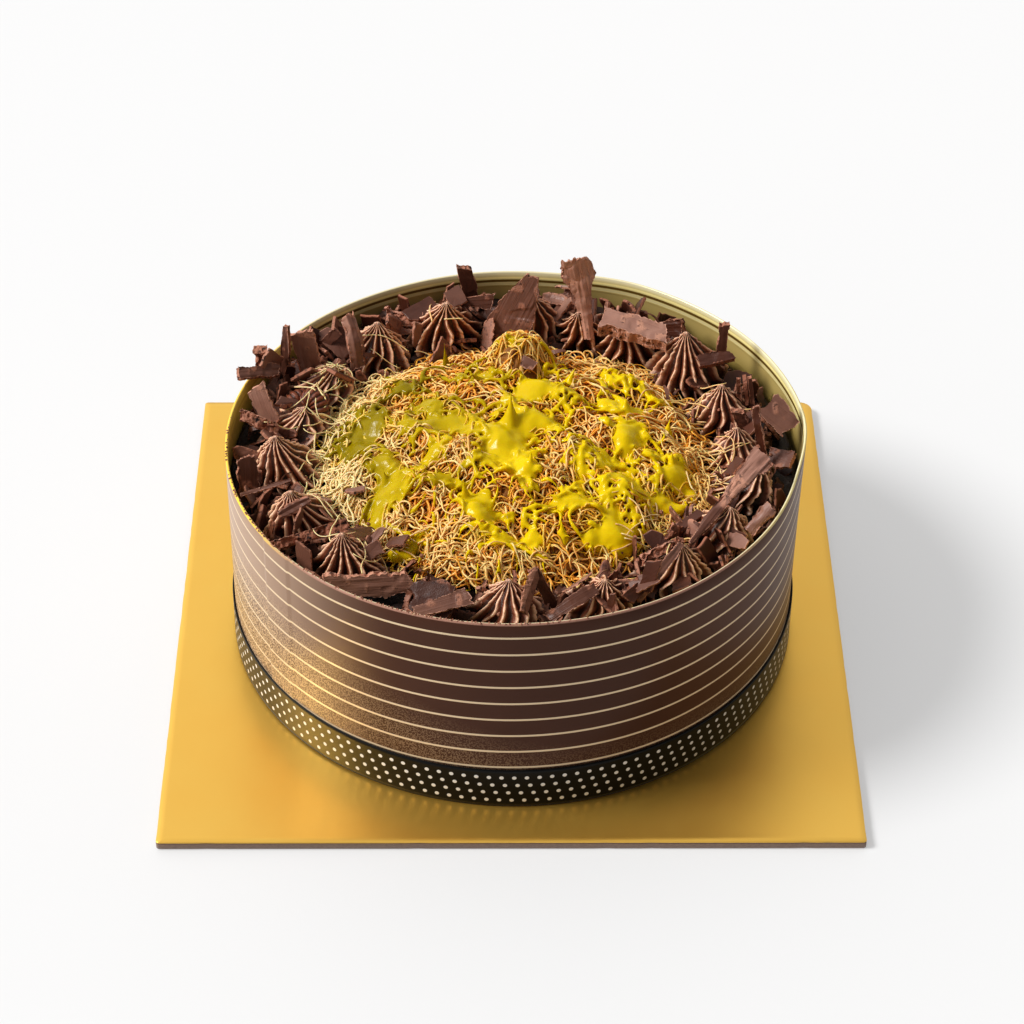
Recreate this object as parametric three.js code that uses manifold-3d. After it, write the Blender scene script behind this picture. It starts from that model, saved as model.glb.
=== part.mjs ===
// Round kunafa cake in a lined collar, with piped rosettes, chocolate shards and a heap of kunafa,
// on its square gold board. Millimetres, +Z up, origin at the centre of the board's underside.
import * as THREE from 'three';
import { mergeVertices } from 'three/addons/utils/BufferGeometryUtils.js';
import Module from 'manifold-3d';

const wasm = await Module();
wasm.setup();

// Driving dimensions
const GAP = 0.3;
const BOARD_SIDE = 250;
const BOARD_THICKNESS = 3.4;
const BOARD_CORNER = 1.2;
const BOARD_WORN_CORNER = 5;
const BOARD_CORNER_STEPS = 5;
const CAKE_CENTRE = [1, -2];
const COLLAR_RADIUS = 104.8;
const COLLAR_THICKNESS = 1;
const RIM_HEIGHT = 88;
const RIM_LEAN = [0.0073, -0.019];
const COLLAR_WAIST = 26;
// Outward flare of the rim: how far, plan direction, half spread and fade in degrees.
const RIM_FLARE = { out: 2.7, at: 34, spread: 49, fade: 22 };
const RIBBON_WIDTH = 17.5;
const RIBBON_THICKNESS = 0.6;
const CREAM_TOP = 74;
const ROUND_STEPS = 64;

const STAND = CREAM_TOP + GAP;
const COLLAR_BORE = COLLAR_RADIUS - COLLAR_THICKNESS;
const CUT_MARGIN = 0.45;
const WELD_DISTANCE = 1e-4;

const finish = {
  foil: new THREE.MeshStandardMaterial({ color: 0xe0a846, roughness: 0.32, metalness: 0.85 }),
  collar: new THREE.MeshStandardMaterial({ color: 0x4a3530, roughness: 0.35, metalness: 0.1 }),
  satin: new THREE.MeshStandardMaterial({ color: 0x17161a, roughness: 0.4, metalness: 0 }),
  cream: new THREE.MeshStandardMaterial({ color: 0x3a231b, roughness: 0.6, metalness: 0 }),
  piped: new THREE.MeshStandardMaterial({ color: 0x7a4a37, roughness: 0.55, metalness: 0 }),
  shard: new THREE.MeshStandardMaterial({ color: 0x553a33, roughness: 0.45, metalness: 0 }),
  kunafa: new THREE.MeshStandardMaterial({ color: 0xd8a03c, roughness: 0.5, metalness: 0 }),
};

// A repeatable random number between 0 and 1 for each call.
function seeded(seed) {
  let state = seed;
  return () => {
    state = (state + 0x6d2b79f5) | 0;
    let mixed = Math.imul(state ^ (state >>> 15), 1 | state);
    mixed = (mixed + Math.imul(mixed ^ (mixed >>> 7), 61 | mixed)) ^ mixed;
    return ((mixed ^ (mixed >>> 14)) >>> 0) / 2 ** 32;
  };
}

function between(random, low, high) {
  return low + (high - low) * random();
}

function smooth(value) {
  const t = Math.min(1, Math.max(0, value));
  return t * t * (3 - 2 * t);
}

// A closed body through rings of points that run anticlockwise seen from the last ring.
function loft(rings) {
  const sides = rings[0].length;
  const points = rings.flat();
  const index = [];
  for (let i = 0; i < rings.length - 1; i += 1) {
    for (let j = 0; j < sides; j += 1) {
      const a = i * sides + j;
      const b = i * sides + ((j + 1) % sides);
      index.push(a, b, b + sides, a, b + sides, a + sides);
    }
  }
  const first = points.length;
  const last = first + 1;
  const top = (rings.length - 1) * sides;
  points.push(middle(rings[0]), middle(rings[rings.length - 1]));
  for (let j = 0; j < sides; j += 1) {
    const next = (j + 1) % sides;
    index.push(first, next, j);
    index.push(last, top + j, top + next);
  }
  const geometry = new THREE.BufferGeometry().setFromPoints(points);
  geometry.setIndex(index);
  return geometry;
}

function middle(points) {
  const sum = new THREE.Vector3();
  points.forEach((point) => sum.add(point));
  return sum.divideScalar(points.length);
}

function toSolid(geometry) {
  const bare = geometry.clone();
  bare.deleteAttribute('normal');
  bare.deleteAttribute('uv');
  const merged = mergeVertices(bare, WELD_DISTANCE);
  return new wasm.Manifold(new wasm.Mesh({
    numProp: 3,
    vertProperties: new Float32Array(merged.attributes.position.array),
    triVerts: new Uint32Array(merged.index.array),
  }));
}

function toGeometry(solid) {
  const mesh = solid.getMesh();
  const geometry = new THREE.BufferGeometry();
  geometry.setAttribute('position', new THREE.BufferAttribute(mesh.vertProperties, 3));
  geometry.setIndex(new THREE.BufferAttribute(mesh.triVerts, 1));
  geometry.computeVertexNormals();
  return geometry;
}

function largestPiece(solid) {
  return solid.decompose().reduce((best, piece) => (piece.volume() > best.volume() ? piece : best));
}

function boxesMeet(a, b) {
  const one = a.boundingBox();
  const other = b.boundingBox();
  return [0, 1, 2].every((k) => one.min[k] <= other.max[k] && other.min[k] <= one.max[k]);
}

// The solid without what its neighbours take up, as one piece.
function carve(solid, cutters) {
  const near = cutters.filter((cutter) => boxesMeet(solid, cutter));
  return largestPiece(near.reduce((rest, cutter) => rest.subtract(cutter), solid));
}

// A lathe turned about Z from [radius, height] pairs that run up the outside.
function turned(profile) {
  const points = profile.map(([radius, height]) => new THREE.Vector2(radius, height));
  const geometry = new THREE.LatheGeometry(points, ROUND_STEPS);
  geometry.rotateX(Math.PI / 2);
  return geometry;
}

function rimHeight(x, y) {
  return RIM_HEIGHT + RIM_LEAN[0] * x + RIM_LEAN[1] * y;
}

function rimFlare(x, y) {
  const off = Math.abs(THREE.MathUtils.radToDeg(Math.atan2(y, x)) - RIM_FLARE.at);
  return RIM_FLARE.out * smooth((RIM_FLARE.spread - off) / RIM_FLARE.fade);
}

// A ring standing round the cake, straight through the heights listed. Functions give the height of
// its top edge and how far that edge flares outwards.
function band(inner, outer, heights, topAt, flareAt) {
  const edge = heights[heights.length - 1] + 1;
  const levels = [...heights, edge];
  const outside = levels.map((height) => [outer, height]);
  const inside = levels.map((height) => [inner, height]).reverse();
  const geometry = turned([[inner, heights[0]], ...outside, ...inside]);
  const position = geometry.attributes.position;
  for (let i = 0; i < position.count; i += 1) {
    if (position.getZ(i) > edge - 0.5) {
      const x = position.getX(i);
      const y = position.getY(i);
      const outward = 1 + flareAt(x, y) / Math.hypot(x, y);
      position.setXYZ(i, x * outward, y * outward, topAt(x, y));
    }
  }
  return geometry;
}

// Board: a square with one worn corner.
function boardGeometry() {
  const half = BOARD_SIDE / 2;
  const outline = new THREE.Shape();
  const corners = [
    [half, -half, -90, BOARD_CORNER],
    [half, half, 0, BOARD_WORN_CORNER],
    [-half, half, 90, BOARD_CORNER],
    [-half, -half, 180, BOARD_CORNER],
  ];
  corners.forEach(([x, y, start, radius]) => {
    const from = THREE.MathUtils.degToRad(start);
    const centre = [x - Math.sign(x) * radius, y - Math.sign(y) * radius];
    outline.absarc(centre[0], centre[1], radius, from, from + Math.PI / 2, false);
  });
  return new THREE.ExtrudeGeometry(outline, {
    depth: BOARD_THICKNESS, bevelEnabled: false, curveSegments: BOARD_CORNER_STEPS,
  });
}

// Kunafa heap: a mound on the cream with an uneven outline, lumps, and pools of thick pistachio cream.
const HEAP_RADIUS = 67;
const HEAP_BACK_SHORT = 9;
const HEAP_EDGE = 5;
const HEAP_CROWN = 16.5;
const HEAP_RINGS = 11;
const HEAP_RING_SPACING = 0.85;
const HEAP_SPOKES = 46;
const HEAP_FULLNESS = 0.75;
const HEAP_LUMP = 1.8;
const HEAP_FOOT_REACH = 0.985;
const TUFT = { at: [3, 44], reach: 16, rise: 12, fullness: 1.5 };
// Each pool: middle, half sizes, turn in degrees, rise above the mound.
const CREAM_POOLS = [
  { at: [-41, 24], half: [10, 5], turn: 20, rise: 3 },
  { at: [-54, 5], half: [11, 7], turn: -8, rise: 4 },
  { at: [-56, -5], half: [8, 6], turn: 0, rise: 4 },
  { at: [-46, -19], half: [9, 6], turn: -10, rise: 4.5 },
  { at: [-31, 10], half: [6.5, 7], turn: 0, rise: 5 },
  { at: [-25, -2], half: [11, 7], turn: -10, rise: 5 },
  { at: [-39, -2], half: [10, 4], turn: -8, rise: 3 },
  { at: [-29, -17], half: [6, 6], turn: 0, rise: 4 },
  { at: [-14, 29], half: [10, 6], turn: 20, rise: 2.6 },
  { at: [1, 42], half: [9, 6], turn: 0, rise: 2.6 },
  { at: [11, 31], half: [5, 4], turn: 0, rise: 2.4 },
  { at: [7, 18], half: [11, 9], turn: 10, rise: 5.5 },
  { at: [-2, -13], half: [10, 14], turn: 8, rise: 6 },
  { at: [12, -3], half: [11, 7], turn: -15, rise: 5 },
  { at: [38, 32], half: [10, 6], turn: 10, rise: 3.4 },
  { at: [52, 25], half: [4.5, 7], turn: 10, rise: 3.4 },
  { at: [36, 13], half: [7, 6], turn: 0, rise: 4.5 },
  { at: [41, -7], half: [7, 11], turn: 0, rise: 6 },
  { at: [27, -54], half: [6, 5], turn: 20, rise: 4 },
  { at: [24, -24], half: [3, 11], turn: 0, rise: 4.5 },
  { at: [31, -20], half: [3, 6], turn: 0, rise: 4 },
  { at: [-44, -32], half: [8, 9], turn: 0, rise: 5 },
  { at: [-50, -43], half: [5, 9], turn: 0, rise: 4.5 },
  { at: [-26, -29], half: [9, 4], turn: -6, rise: 4 },
  { at: [-12, -46], half: [8.5, 10], turn: 8, rise: 6 },
  { at: [-38, -55], half: [11, 5], turn: 12, rise: 4 },
  { at: [-3, -58], half: [9, 4], turn: 0, rise: 3.4 },
  { at: [5, -28], half: [5, 7], turn: 0, rise: 4.5 },
  { at: [19, -41], half: [12, 6], turn: 15, rise: 4.5 },
  { at: [40, -27], half: [11, 7], turn: 0, rise: 4.5 },
  { at: [6, -56], half: [6, 5], turn: -4, rise: 4.5 },
  { at: [38, -54], half: [7, 5], turn: 30, rise: 4.5 },
  { at: [35, -47], half: [5, 9], turn: 0, rise: 4 },
  { at: [54, -33], half: [9, 5], turn: 0, rise: 4 },
  { at: [59, -21], half: [8.5, 7.5], turn: 0, rise: 5 },
  { at: [46, -46], half: [7, 3], turn: 0, rise: 3 },
];
// Each peak of cream: foot, lean towards its tip, height, foot radius.
const CREAM_PEAKS = [
  { at: [-1, -5], lean: [0, 4], rise: 14, foot: 5 },
  { at: [20, 24], lean: [4, 3], rise: 8, foot: 3.5 },
  { at: [-17, -40], lean: [-1, 2], rise: 9, foot: 4 },
  { at: [-45, -28], lean: [-2, 3], rise: 8, foot: 3.5 },
  { at: [6, -28], lean: [0, 3], rise: 9, foot: 2.6 },
  { at: [57, -16], lean: [0, 3], rise: 8, foot: 3 },
  { at: [17, -55], lean: [-1, 3], rise: 8, foot: 2.4 },
  { at: [41, 8], lean: [0, 2], rise: 5, foot: 6 },
  { at: [-25, 44], lean: [-1, 3], rise: 13, foot: 1.8 },
  { at: [56, 4], lean: [2, 3], rise: 7, foot: 2.6 },
];

function heapEdge(angle) {
  const wave = 1.8 * Math.sin(3 * angle + 0.6) + 1.4 * Math.sin(7 * angle + 1.9) + Math.sin(13 * angle);
  return HEAP_RADIUS - HEAP_BACK_SHORT * smooth(Math.sin(angle)) + wave;
}

function poolRise(x, y) {
  let rise = 0;
  CREAM_POOLS.forEach((pool) => {
    const turn = THREE.MathUtils.degToRad(pool.turn);
    const dx = x - pool.at[0];
    const dy = y - pool.at[1];
    const u = (dx * Math.cos(turn) + dy * Math.sin(turn)) / pool.half[0];
    const v = (dy * Math.cos(turn) - dx * Math.sin(turn)) / pool.half[1];
    const inside = 1 - u * u - v * v;
    rise = Math.max(rise, inside > 0 ? pool.rise * Math.sqrt(inside) : 0);
  });
  return rise;
}

function heapHeight(x, y) {
  const reach = Math.min(1, Math.hypot(x, y) / heapEdge(Math.atan2(y, x)));
  const mound = HEAP_EDGE + HEAP_CROWN * (1 - reach ** 2) ** HEAP_FULLNESS;
  const lumps = Math.sin(x / 6.1 + 1.3) * Math.cos(y / 5.3) + 0.7 * Math.sin((x + y) / 3.7);
  const away = Math.hypot(x - TUFT.at[0], y - TUFT.at[1]) / TUFT.reach;
  const tuft = TUFT.rise * smooth((1 - away) * TUFT.fullness);
  const settled = smooth((1 - reach) * 6);
  return STAND + mound + tuft + settled * (HEAP_LUMP * lumps + poolRise(x, y));
}

function heapCore(grow) {
  const ringAt = (reach, heightAt) => Array.from({ length: HEAP_SPOKES }, (_, j) => {
    const angle = (j / HEAP_SPOKES) * 2 * Math.PI;
    const radius = reach * heapEdge(angle);
    const x = radius * Math.cos(angle);
    const y = radius * Math.sin(angle);
    const outward = 1 + grow / HEAP_RADIUS;
    return new THREE.Vector3(x * outward, y * outward, heightAt(x, y));
  });
  const rings = [ringAt(HEAP_FOOT_REACH, () => STAND - grow)];
  for (let i = HEAP_RINGS; i >= 1; i -= 1) {
    const reach = (i / HEAP_RINGS) ** HEAP_RING_SPACING;
    rings.push(ringAt(reach, (x, y) => heapHeight(x, y) + grow));
  }
  return toSolid(loft(rings));
}

// A tapered peak of cream that leans from its foot in the mound. Levels: share of the foot's width,
// share of the height.
const PEAK_SIDES = 7;
const PEAK_SUNK = 2;
const PEAK_LEVELS = [[1, 0], [0.55, 0.35], [0.3, 0.7], [0.12, 1]];

function creamPeak({ at, lean, rise, foot }) {
  const base = heapHeight(at[0], at[1]) - PEAK_SUNK;
  const rings = PEAK_LEVELS.map(([width, t]) => Array.from({ length: PEAK_SIDES }, (_, j) => {
    const angle = (j / PEAK_SIDES) * 2 * Math.PI;
    return new THREE.Vector3(
      at[0] + lean[0] * t * t + foot * width * Math.cos(angle),
      at[1] + lean[1] * t * t + foot * width * Math.sin(angle),
      base + (rise + PEAK_SUNK) * t,
    );
  }));
  return toSolid(loft(rings));
}

// Curly strands that arch over the mound with both ends in it, started along a sunflower spiral.
const STRAND_COUNT = 29;
const STRAND_RADIUS = 0.7;
const STRAND_SIDES = 3;
const STRAND_STEPS = 6;
const STRAND_STRIDE = [3.2, 4.6];
const STRAND_ARCH = [1.6, 4.2];
const STRAND_BEND = 0.5;
const STRAND_WANDER = 0.35;
const STRAND_ENDS_SUNK = 1.4;
const STRAND_SPREAD = HEAP_RADIUS * 0.86;
const STRAND_TURNS_BACK = HEAP_RADIUS * 0.84;
const GOLDEN_ANGLE = Math.PI * (3 - Math.sqrt(5));

function strandSection() {
  const section = new THREE.Shape();
  section.setFromPoints(Array.from({ length: STRAND_SIDES }, (_, k) => {
    const angle = (k / STRAND_SIDES) * 2 * Math.PI;
    return new THREE.Vector2(STRAND_RADIUS * Math.cos(angle), STRAND_RADIUS * Math.sin(angle));
  }));
  return section;
}

function strandPath(random, place) {
  const spiral = place * GOLDEN_ANGLE;
  const spread = STRAND_SPREAD * Math.sqrt((place + 0.5) / STRAND_COUNT);
  let x = spread * Math.cos(spiral);
  let y = spread * Math.sin(spiral);
  let heading = between(random, 0, 2 * Math.PI);
  const bend = between(random, -STRAND_BEND, STRAND_BEND);
  const stride = between(random, ...STRAND_STRIDE);
  const arch = between(random, ...STRAND_ARCH);
  const points = [];
  for (let i = 0; i <= STRAND_STEPS; i += 1) {
    const lift = arch * Math.sin((Math.PI * i) / STRAND_STEPS) - STRAND_ENDS_SUNK;
    points.push(new THREE.Vector3(x, y, heapHeight(x, y) + lift));
    heading += bend + between(random, -STRAND_WANDER, STRAND_WANDER);
    if (Math.hypot(x, y) > STRAND_TURNS_BACK) {
      heading = Math.atan2(-y, -x) + between(random, -STRAND_BEND, STRAND_BEND);
    }
    x += stride * Math.cos(heading);
    y += stride * Math.sin(heading);
  }
  return new THREE.CatmullRomCurve3(points);
}

function kunafaSolid(core, toppings) {
  const random = seeded(11);
  let heap = core;
  CREAM_PEAKS.forEach((peak) => {
    heap = heap.add(creamPeak(peak));
  });
  for (let place = 0; place < STRAND_COUNT; place += 1) {
    const strand = toSolid(new THREE.ExtrudeGeometry(strandSection(), {
      extrudePath: strandPath(random, place), steps: STRAND_STEPS, bevelEnabled: false,
    }));
    const near = toppings.filter((topping) => boxesMeet(strand, topping));
    if (near.every((topping) => topping.intersect(strand).isEmpty())) {
      heap = heap.add(strand);
    }
  }
  return withoutHollows(largestPiece(heap));
}

// The outer skin of a solid, so that a pocket closed by fusing is filled.
function withoutHollows(solid) {
  const mesh = solid.getMesh();
  const parent = Array.from({ length: mesh.vertProperties.length / 3 }, (_, i) => i);
  const find = (i) => {
    let root = i;
    while (parent[root] !== root) {
      root = parent[root];
    }
    parent[i] = root;
    return root;
  };
  for (let t = 0; t < mesh.triVerts.length; t += 3) {
    parent[find(mesh.triVerts[t])] = find(mesh.triVerts[t + 1]);
    parent[find(mesh.triVerts[t + 1])] = find(mesh.triVerts[t + 2]);
  }
  const counts = new Map();
  for (let t = 0; t < mesh.triVerts.length; t += 3) {
    const root = find(mesh.triVerts[t]);
    counts.set(root, (counts.get(root) ?? 0) + 1);
  }
  const skin = [...counts].reduce((best, entry) => (entry[1] > best[1] ? entry : best))[0];
  const kept = Array.from(mesh.triVerts).filter((_, k) => find(mesh.triVerts[k - (k % 3)]) === skin);
  const geometry = new THREE.BufferGeometry();
  geometry.setAttribute('position', new THREE.BufferAttribute(mesh.vertProperties, 3));
  geometry.setIndex(kept);
  return toSolid(geometry);
}

// Rosettes: piped stars with thin ridges, drawn up to a tip. Levels: share of the foot radius, share
// of the height. Each row: tip, foot radius, twist in degrees, ridges.
const ROSETTE_RING = 83;
const ROSETTE_LEVELS = [[0.95, 0], [1, 0.15], [0.68, 0.45], [0.27, 0.8], [0.05, 1]];
const GROOVE = 0.26;
const ROSETTES = [
  { tip: [-2, -83, 91], foot: 15.3, twist: 20, ridges: 11 },
  { tip: [31, -82, 90], foot: 15.3, twist: -15, ridges: 11 },
  { tip: [58, -64, 90], foot: 15.8, twist: 10, ridges: 12 },
  { tip: [76, -46, 92], foot: 15.3, twist: 25, ridges: 10 },
  { tip: [88, -18, 90], foot: 14.3, twist: 20, ridges: 10 },
  { tip: [81, -1, 92], foot: 14.3, twist: 30, ridges: 10 },
  { tip: [77, 23, 93], foot: 14.3, twist: 15, ridges: 10 },
  { tip: [65, 50, 97], foot: 16.3, twist: -15, ridges: 11 },
  { tip: [42, 64, 92], foot: 15.8, twist: 10, ridges: 11 },
  { tip: [25, 68, 93], foot: 13.8, twist: 20, ridges: 10 },
  { tip: [8, 79, 93], foot: 14.8, twist: 10, ridges: 11 },
  { tip: [-25, 70, 96], foot: 17.3, twist: -25, ridges: 11 },
  { tip: [-51, 63, 92], foot: 15.3, twist: 15, ridges: 12 },
  { tip: [-67, 37, 91], foot: 15.8, twist: 30, ridges: 10 },
  { tip: [-77, 15, 89], foot: 14.8, twist: 32, ridges: 10 },
  { tip: [-86, -7, 93], foot: 15.3, twist: -20, ridges: 11 },
  { tip: [-79, -38, 93], foot: 16.3, twist: -15, ridges: 12 },
  { tip: [-60, -61, 93], foot: 15.3, twist: 10, ridges: 12 },
];

function rosetteSolid({ tip, foot, twist, ridges }, grow) {
  const outward = ROSETTE_RING / Math.hypot(tip[0], tip[1]);
  const base = [tip[0] * outward, tip[1] * outward];
  const endShift = new Map([[0, -grow], [1, grow]]);
  const rings = ROSETTE_LEVELS.map(([width, t]) => {
    const along = smooth(t);
    const centre = [base[0] + (tip[0] - base[0]) * along, base[1] + (tip[1] - base[1]) * along];
    return Array.from({ length: 2 * ridges }, (_, j) => {
      const groove = j % 2 === 0 ? 1 : 1 - GROOVE;
      const angle = (j / (2 * ridges)) * 2 * Math.PI + THREE.MathUtils.degToRad(twist) * t;
      const radius = foot * width * groove + grow;
      return new THREE.Vector3(
        centre[0] + radius * Math.cos(angle),
        centre[1] + radius * Math.sin(angle),
        STAND + (tip[2] - STAND) * t + (endShift.get(t) ?? 0),
      );
    });
  });
  return toSolid(loft(rings));
}

// Chocolate shards: broken plates from one end to the other, wide as listed in even steps along them.
// face is the way that the plate looks: plan direction and rise in degrees. bow bends it along its
// length, curl across.
const SHARD_STATIONS = 5;
const SHARD_WIDTH_VARIES = [0.82, 1.1];
const SHARD_THICKNESS_VARIES = [0.85, 1.1];
const SHARD_END_SKEW = 0.35;
const FRONT = 270;
const SHARDS = [
  {
    from: [29.5, 62.5, 82], to: [23, 70, 118], wide: [4, 4.5, 8, 14, 11], thick: 1.6,
    face: [265, 10], bow: -2.5, curl: 1.2,
  },
  { from: [-5, 69, 75], to: [8, 76, 105], wide: [17, 19, 17, 12, 6], thick: 2, face: [262, 35] },
  { from: [33, 62, 94], to: [58.5, 52, 92.5], wide: [12, 12], thick: 6, face: [FRONT, 80] },
  { from: [92.5, 7, 87.5], to: [101.5, 10.8, 92], wide: [15, 14.5], thick: 1.8, face: [262, 40] },
  { from: [84.6, 22.7, 75], to: [83, 24.6, 96], wide: [2.6, 2], thick: 2, face: [FRONT, 0] },
  { from: [90, 22, 75], to: [87, 25, 97], wide: [2.6, 2], thick: 2, face: [FRONT, 0] },
  { from: [78, 50, 78], to: [79.5, 52.4, 101], wide: [5, 4.6], thick: 3.5, face: [FRONT, 0] },
  { from: [69, 43, 88], to: [83, 45, 90], wide: [6, 5], thick: 5, face: [FRONT, 60] },
  { from: [54, 75, 78], to: [66, 69, 86], wide: [8, 7], thick: 3, face: [235, 20] },
  { from: [12, 88, 79], to: [26, 91, 86], wide: [8, 6], thick: 2.5, face: [265, 40] },
  { from: [-15.5, 98, 75], to: [-18.5, 97, 94], wide: [7.5, 7], thick: 3, face: [280, 0] },
  { from: [-25, 84, 86], to: [-7, 82, 88], wide: [3, 7], thick: 3, face: [FRONT, 30] },
  { from: [-49, 76, 85], to: [-28, 72, 84], wide: [9, 7], thick: 4, face: [280, 50] },
  { from: [-57, 50, 79], to: [-62, 61, 98], wide: [9, 6.5], thick: 1.6, face: [300, 20], bow: 2, curl: 1.5 },
  { from: [-76, 59, 78], to: [-64, 64, 84], wide: [8, 8], thick: 2, face: [290, 20] },
  { from: [-74, 49, 77], to: [-79.5, 46, 101], wide: [12, 11.5], thick: 1.6, face: [250, 20] },
  { from: [-86, 46, 77], to: [-84, 45, 105], wide: [6.5, 2.4], thick: 2, face: [240, 0] },
  { from: [-93, 42, 84], to: [-94, 41, 97], wide: [6, 7], thick: 5, face: [FRONT, 0] },
  { from: [-86, 39, 88], to: [-102.5, 31.5, 91.5], wide: [6, 5.5], thick: 3.5, face: [300, 50] },
  { from: [-87, 12, 79], to: [-95, 18.5, 96.5], wide: [9, 8], thick: 1.8, face: [250, 40] },
  { from: [-85, 5, 86], to: [-101, 8, 92], wide: [6, 5], thick: 3, face: [280, 50] },
  { from: [-95, -24, 76], to: [-96, -18, 93], wide: [10, 8], thick: 1.8, face: [290, 20] },
  { from: [-98, -32, 86], to: [-79, -29, 91], wide: [2.4, 2], thick: 2, face: [FRONT, 50] },
  { from: [-86, -59, 85], to: [-58, -50, 88], wide: [4.5, 5], thick: 4.5, face: [300, 50] },
  { from: [-67, -76, 81], to: [-35, -72, 81], wide: [11, 12], thick: 4, face: [255, 20] },
  { from: [-36, -95, 86], to: [-15, -90, 90], wide: [5, 7], thick: 1.5, face: [260, 55] },
  { from: [-33, -92, 78], to: [-24, -80, 88], wide: [15, 21, 22, 19, 13], thick: 10, face: [250, 45] },
  {
    from: [61, -59, 86], to: [90, -24, 99], wide: [2, 4.5, 5, 10, 12], thick: 1.6,
    face: [250, 60], bow: 2, curl: 0.6,
  },
  { from: [41, -83, 80], to: [59, -62, 91], wide: [5, 3.5], thick: 1.6, face: [290, 50], bow: 3 },
  { from: [43, -68, 86], to: [59, -59, 89], wide: [5, 4], thick: 3, face: [290, 50] },
  { from: [82, -50.5, 84], to: [91, -45, 93], wide: [6, 6], thick: 1.6, face: [250, 50], curl: 1 },
  { from: [93, -8, 76], to: [87.5, 0, 102], wide: [4.5, 4], thick: 1.4, face: [240, 20], bow: 2 },
  { from: [88, 10, 78], to: [81.5, 9.5, 93], wide: [6, 5], thick: 3, face: [250, 20] },
  { from: [93, -3, 80], to: [102, -10, 84], wide: [9, 8], thick: 1.8, face: [240, 60] },
  { from: [14, -82, 76], to: [6, -79, 93], wide: [5, 5], thick: 2.4, face: [280, 10] },
  { from: [10, -92, 80], to: [29, -84, 89], wide: [5, 6], thick: 1.6, face: [FRONT, 55], bow: 2 },
  { from: [-3, 35, 99], to: [8.5, 30, 96], wide: [4, 5], thick: 1.6, face: [FRONT, 45] },
];

// A shard's own axes: along its length, across its width and out of its face.
function shardAxes({ from, to, face }) {
  const along = new THREE.Vector3(...to).sub(new THREE.Vector3(...from)).normalize();
  const plan = THREE.MathUtils.degToRad(face[0]);
  const rise = THREE.MathUtils.degToRad(face[1]);
  const look = new THREE.Vector3(
    Math.cos(plan) * Math.cos(rise), Math.sin(plan) * Math.cos(rise), Math.sin(rise),
  );
  const out = look.addScaledVector(along, -look.dot(along)).normalize();
  const across = new THREE.Vector3().crossVectors(out, along);
  return { along, across, out };
}

function listedWidth(wide, t) {
  const along = t * (wide.length - 1);
  const step = Math.min(wide.length - 2, Math.floor(along));
  return THREE.MathUtils.lerp(wide[step], wide[step + 1], along - step);
}

function shardSolid(shard, seed, grow) {
  const random = seeded(seed);
  const { along, across, out } = shardAxes(shard);
  const columns = shard.curl ? 4 : 2;
  const start = new THREE.Vector3(...shard.from).addScaledVector(along, -grow);
  const end = new THREE.Vector3(...shard.to).addScaledVector(along, grow);
  const rings = [];
  for (let i = 0; i < SHARD_STATIONS; i += 1) {
    const t = i / (SHARD_STATIONS - 1);
    const centre = new THREE.Vector3().lerpVectors(start, end, t);
    centre.addScaledVector(out, (shard.bow ?? 0) * Math.sin(Math.PI * t));
    const half = (listedWidth(shard.wide, t) * between(random, ...SHARD_WIDTH_VARIES)) / 2 + grow;
    const depth = (shard.thick * between(random, ...SHARD_THICKNESS_VARIES)) / 2 + grow;
    const atEnd = i === 0 || i === SHARD_STATIONS - 1;
    const skew = atEnd ? between(random, -SHARD_END_SKEW, SHARD_END_SKEW) * half : 0;
    const side = (sign) => Array.from({ length: columns }, (_, k) => {
      const u = 1 - (2 * k) / (columns - 1);
      return centre.clone()
        .addScaledVector(across, sign * u * half)
        .addScaledVector(along, sign * u * skew)
        .addScaledVector(out, sign * depth - (shard.curl ?? 0) * u * u);
    });
    rings.push([...side(1), ...side(-1)]);
  }
  return toSolid(loft(rings));
}

// The room below the cream's top and the wall of the collar, which toppings keep out of.
function hardNeighbours() {
  const floor = new THREE.BoxGeometry(2 * BOARD_SIDE, 2 * BOARD_SIDE, CREAM_TOP);
  floor.translate(0, 0, STAND - CREAM_TOP / 2);
  const wallTop = (x, y) => rimHeight(x, y) + GAP;
  const wall = band(COLLAR_BORE - GAP, COLLAR_RADIUS + GAP, [COLLAR_WAIST], wallTop, rimFlare);
  return [toSolid(floor), toSolid(wall)];
}

const cake = new THREE.Group();
cake.position.set(CAKE_CENTRE[0], CAKE_CENTRE[1], 0);

function place(group, name, geometry, material) {
  const mesh = new THREE.Mesh(geometry, material);
  mesh.name = name;
  group.add(mesh);
}

function twoDigits(number) {
  return String(number).padStart(2, '0');
}

const cakeFoot = BOARD_THICKNESS + GAP;
const bodyProfile = [
  [0, cakeFoot],
  [COLLAR_BORE - GAP, cakeFoot],
  [COLLAR_BORE - GAP, CREAM_TOP],
  [0, CREAM_TOP],
];
place(cake, 'cake_body', turned(bodyProfile), finish.cream);
const collar = band(COLLAR_BORE, COLLAR_RADIUS, [cakeFoot, COLLAR_WAIST], rimHeight, rimFlare);
place(cake, 'collar', collar, finish.collar);
const ribbonInner = COLLAR_RADIUS + GAP;
const ribbonOuter = ribbonInner + RIBBON_THICKNESS;
const ribbon = band(ribbonInner, ribbonOuter, [cakeFoot], () => cakeFoot + RIBBON_WIDTH, () => 0);
place(cake, 'ribbon', ribbon, finish.satin);

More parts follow.
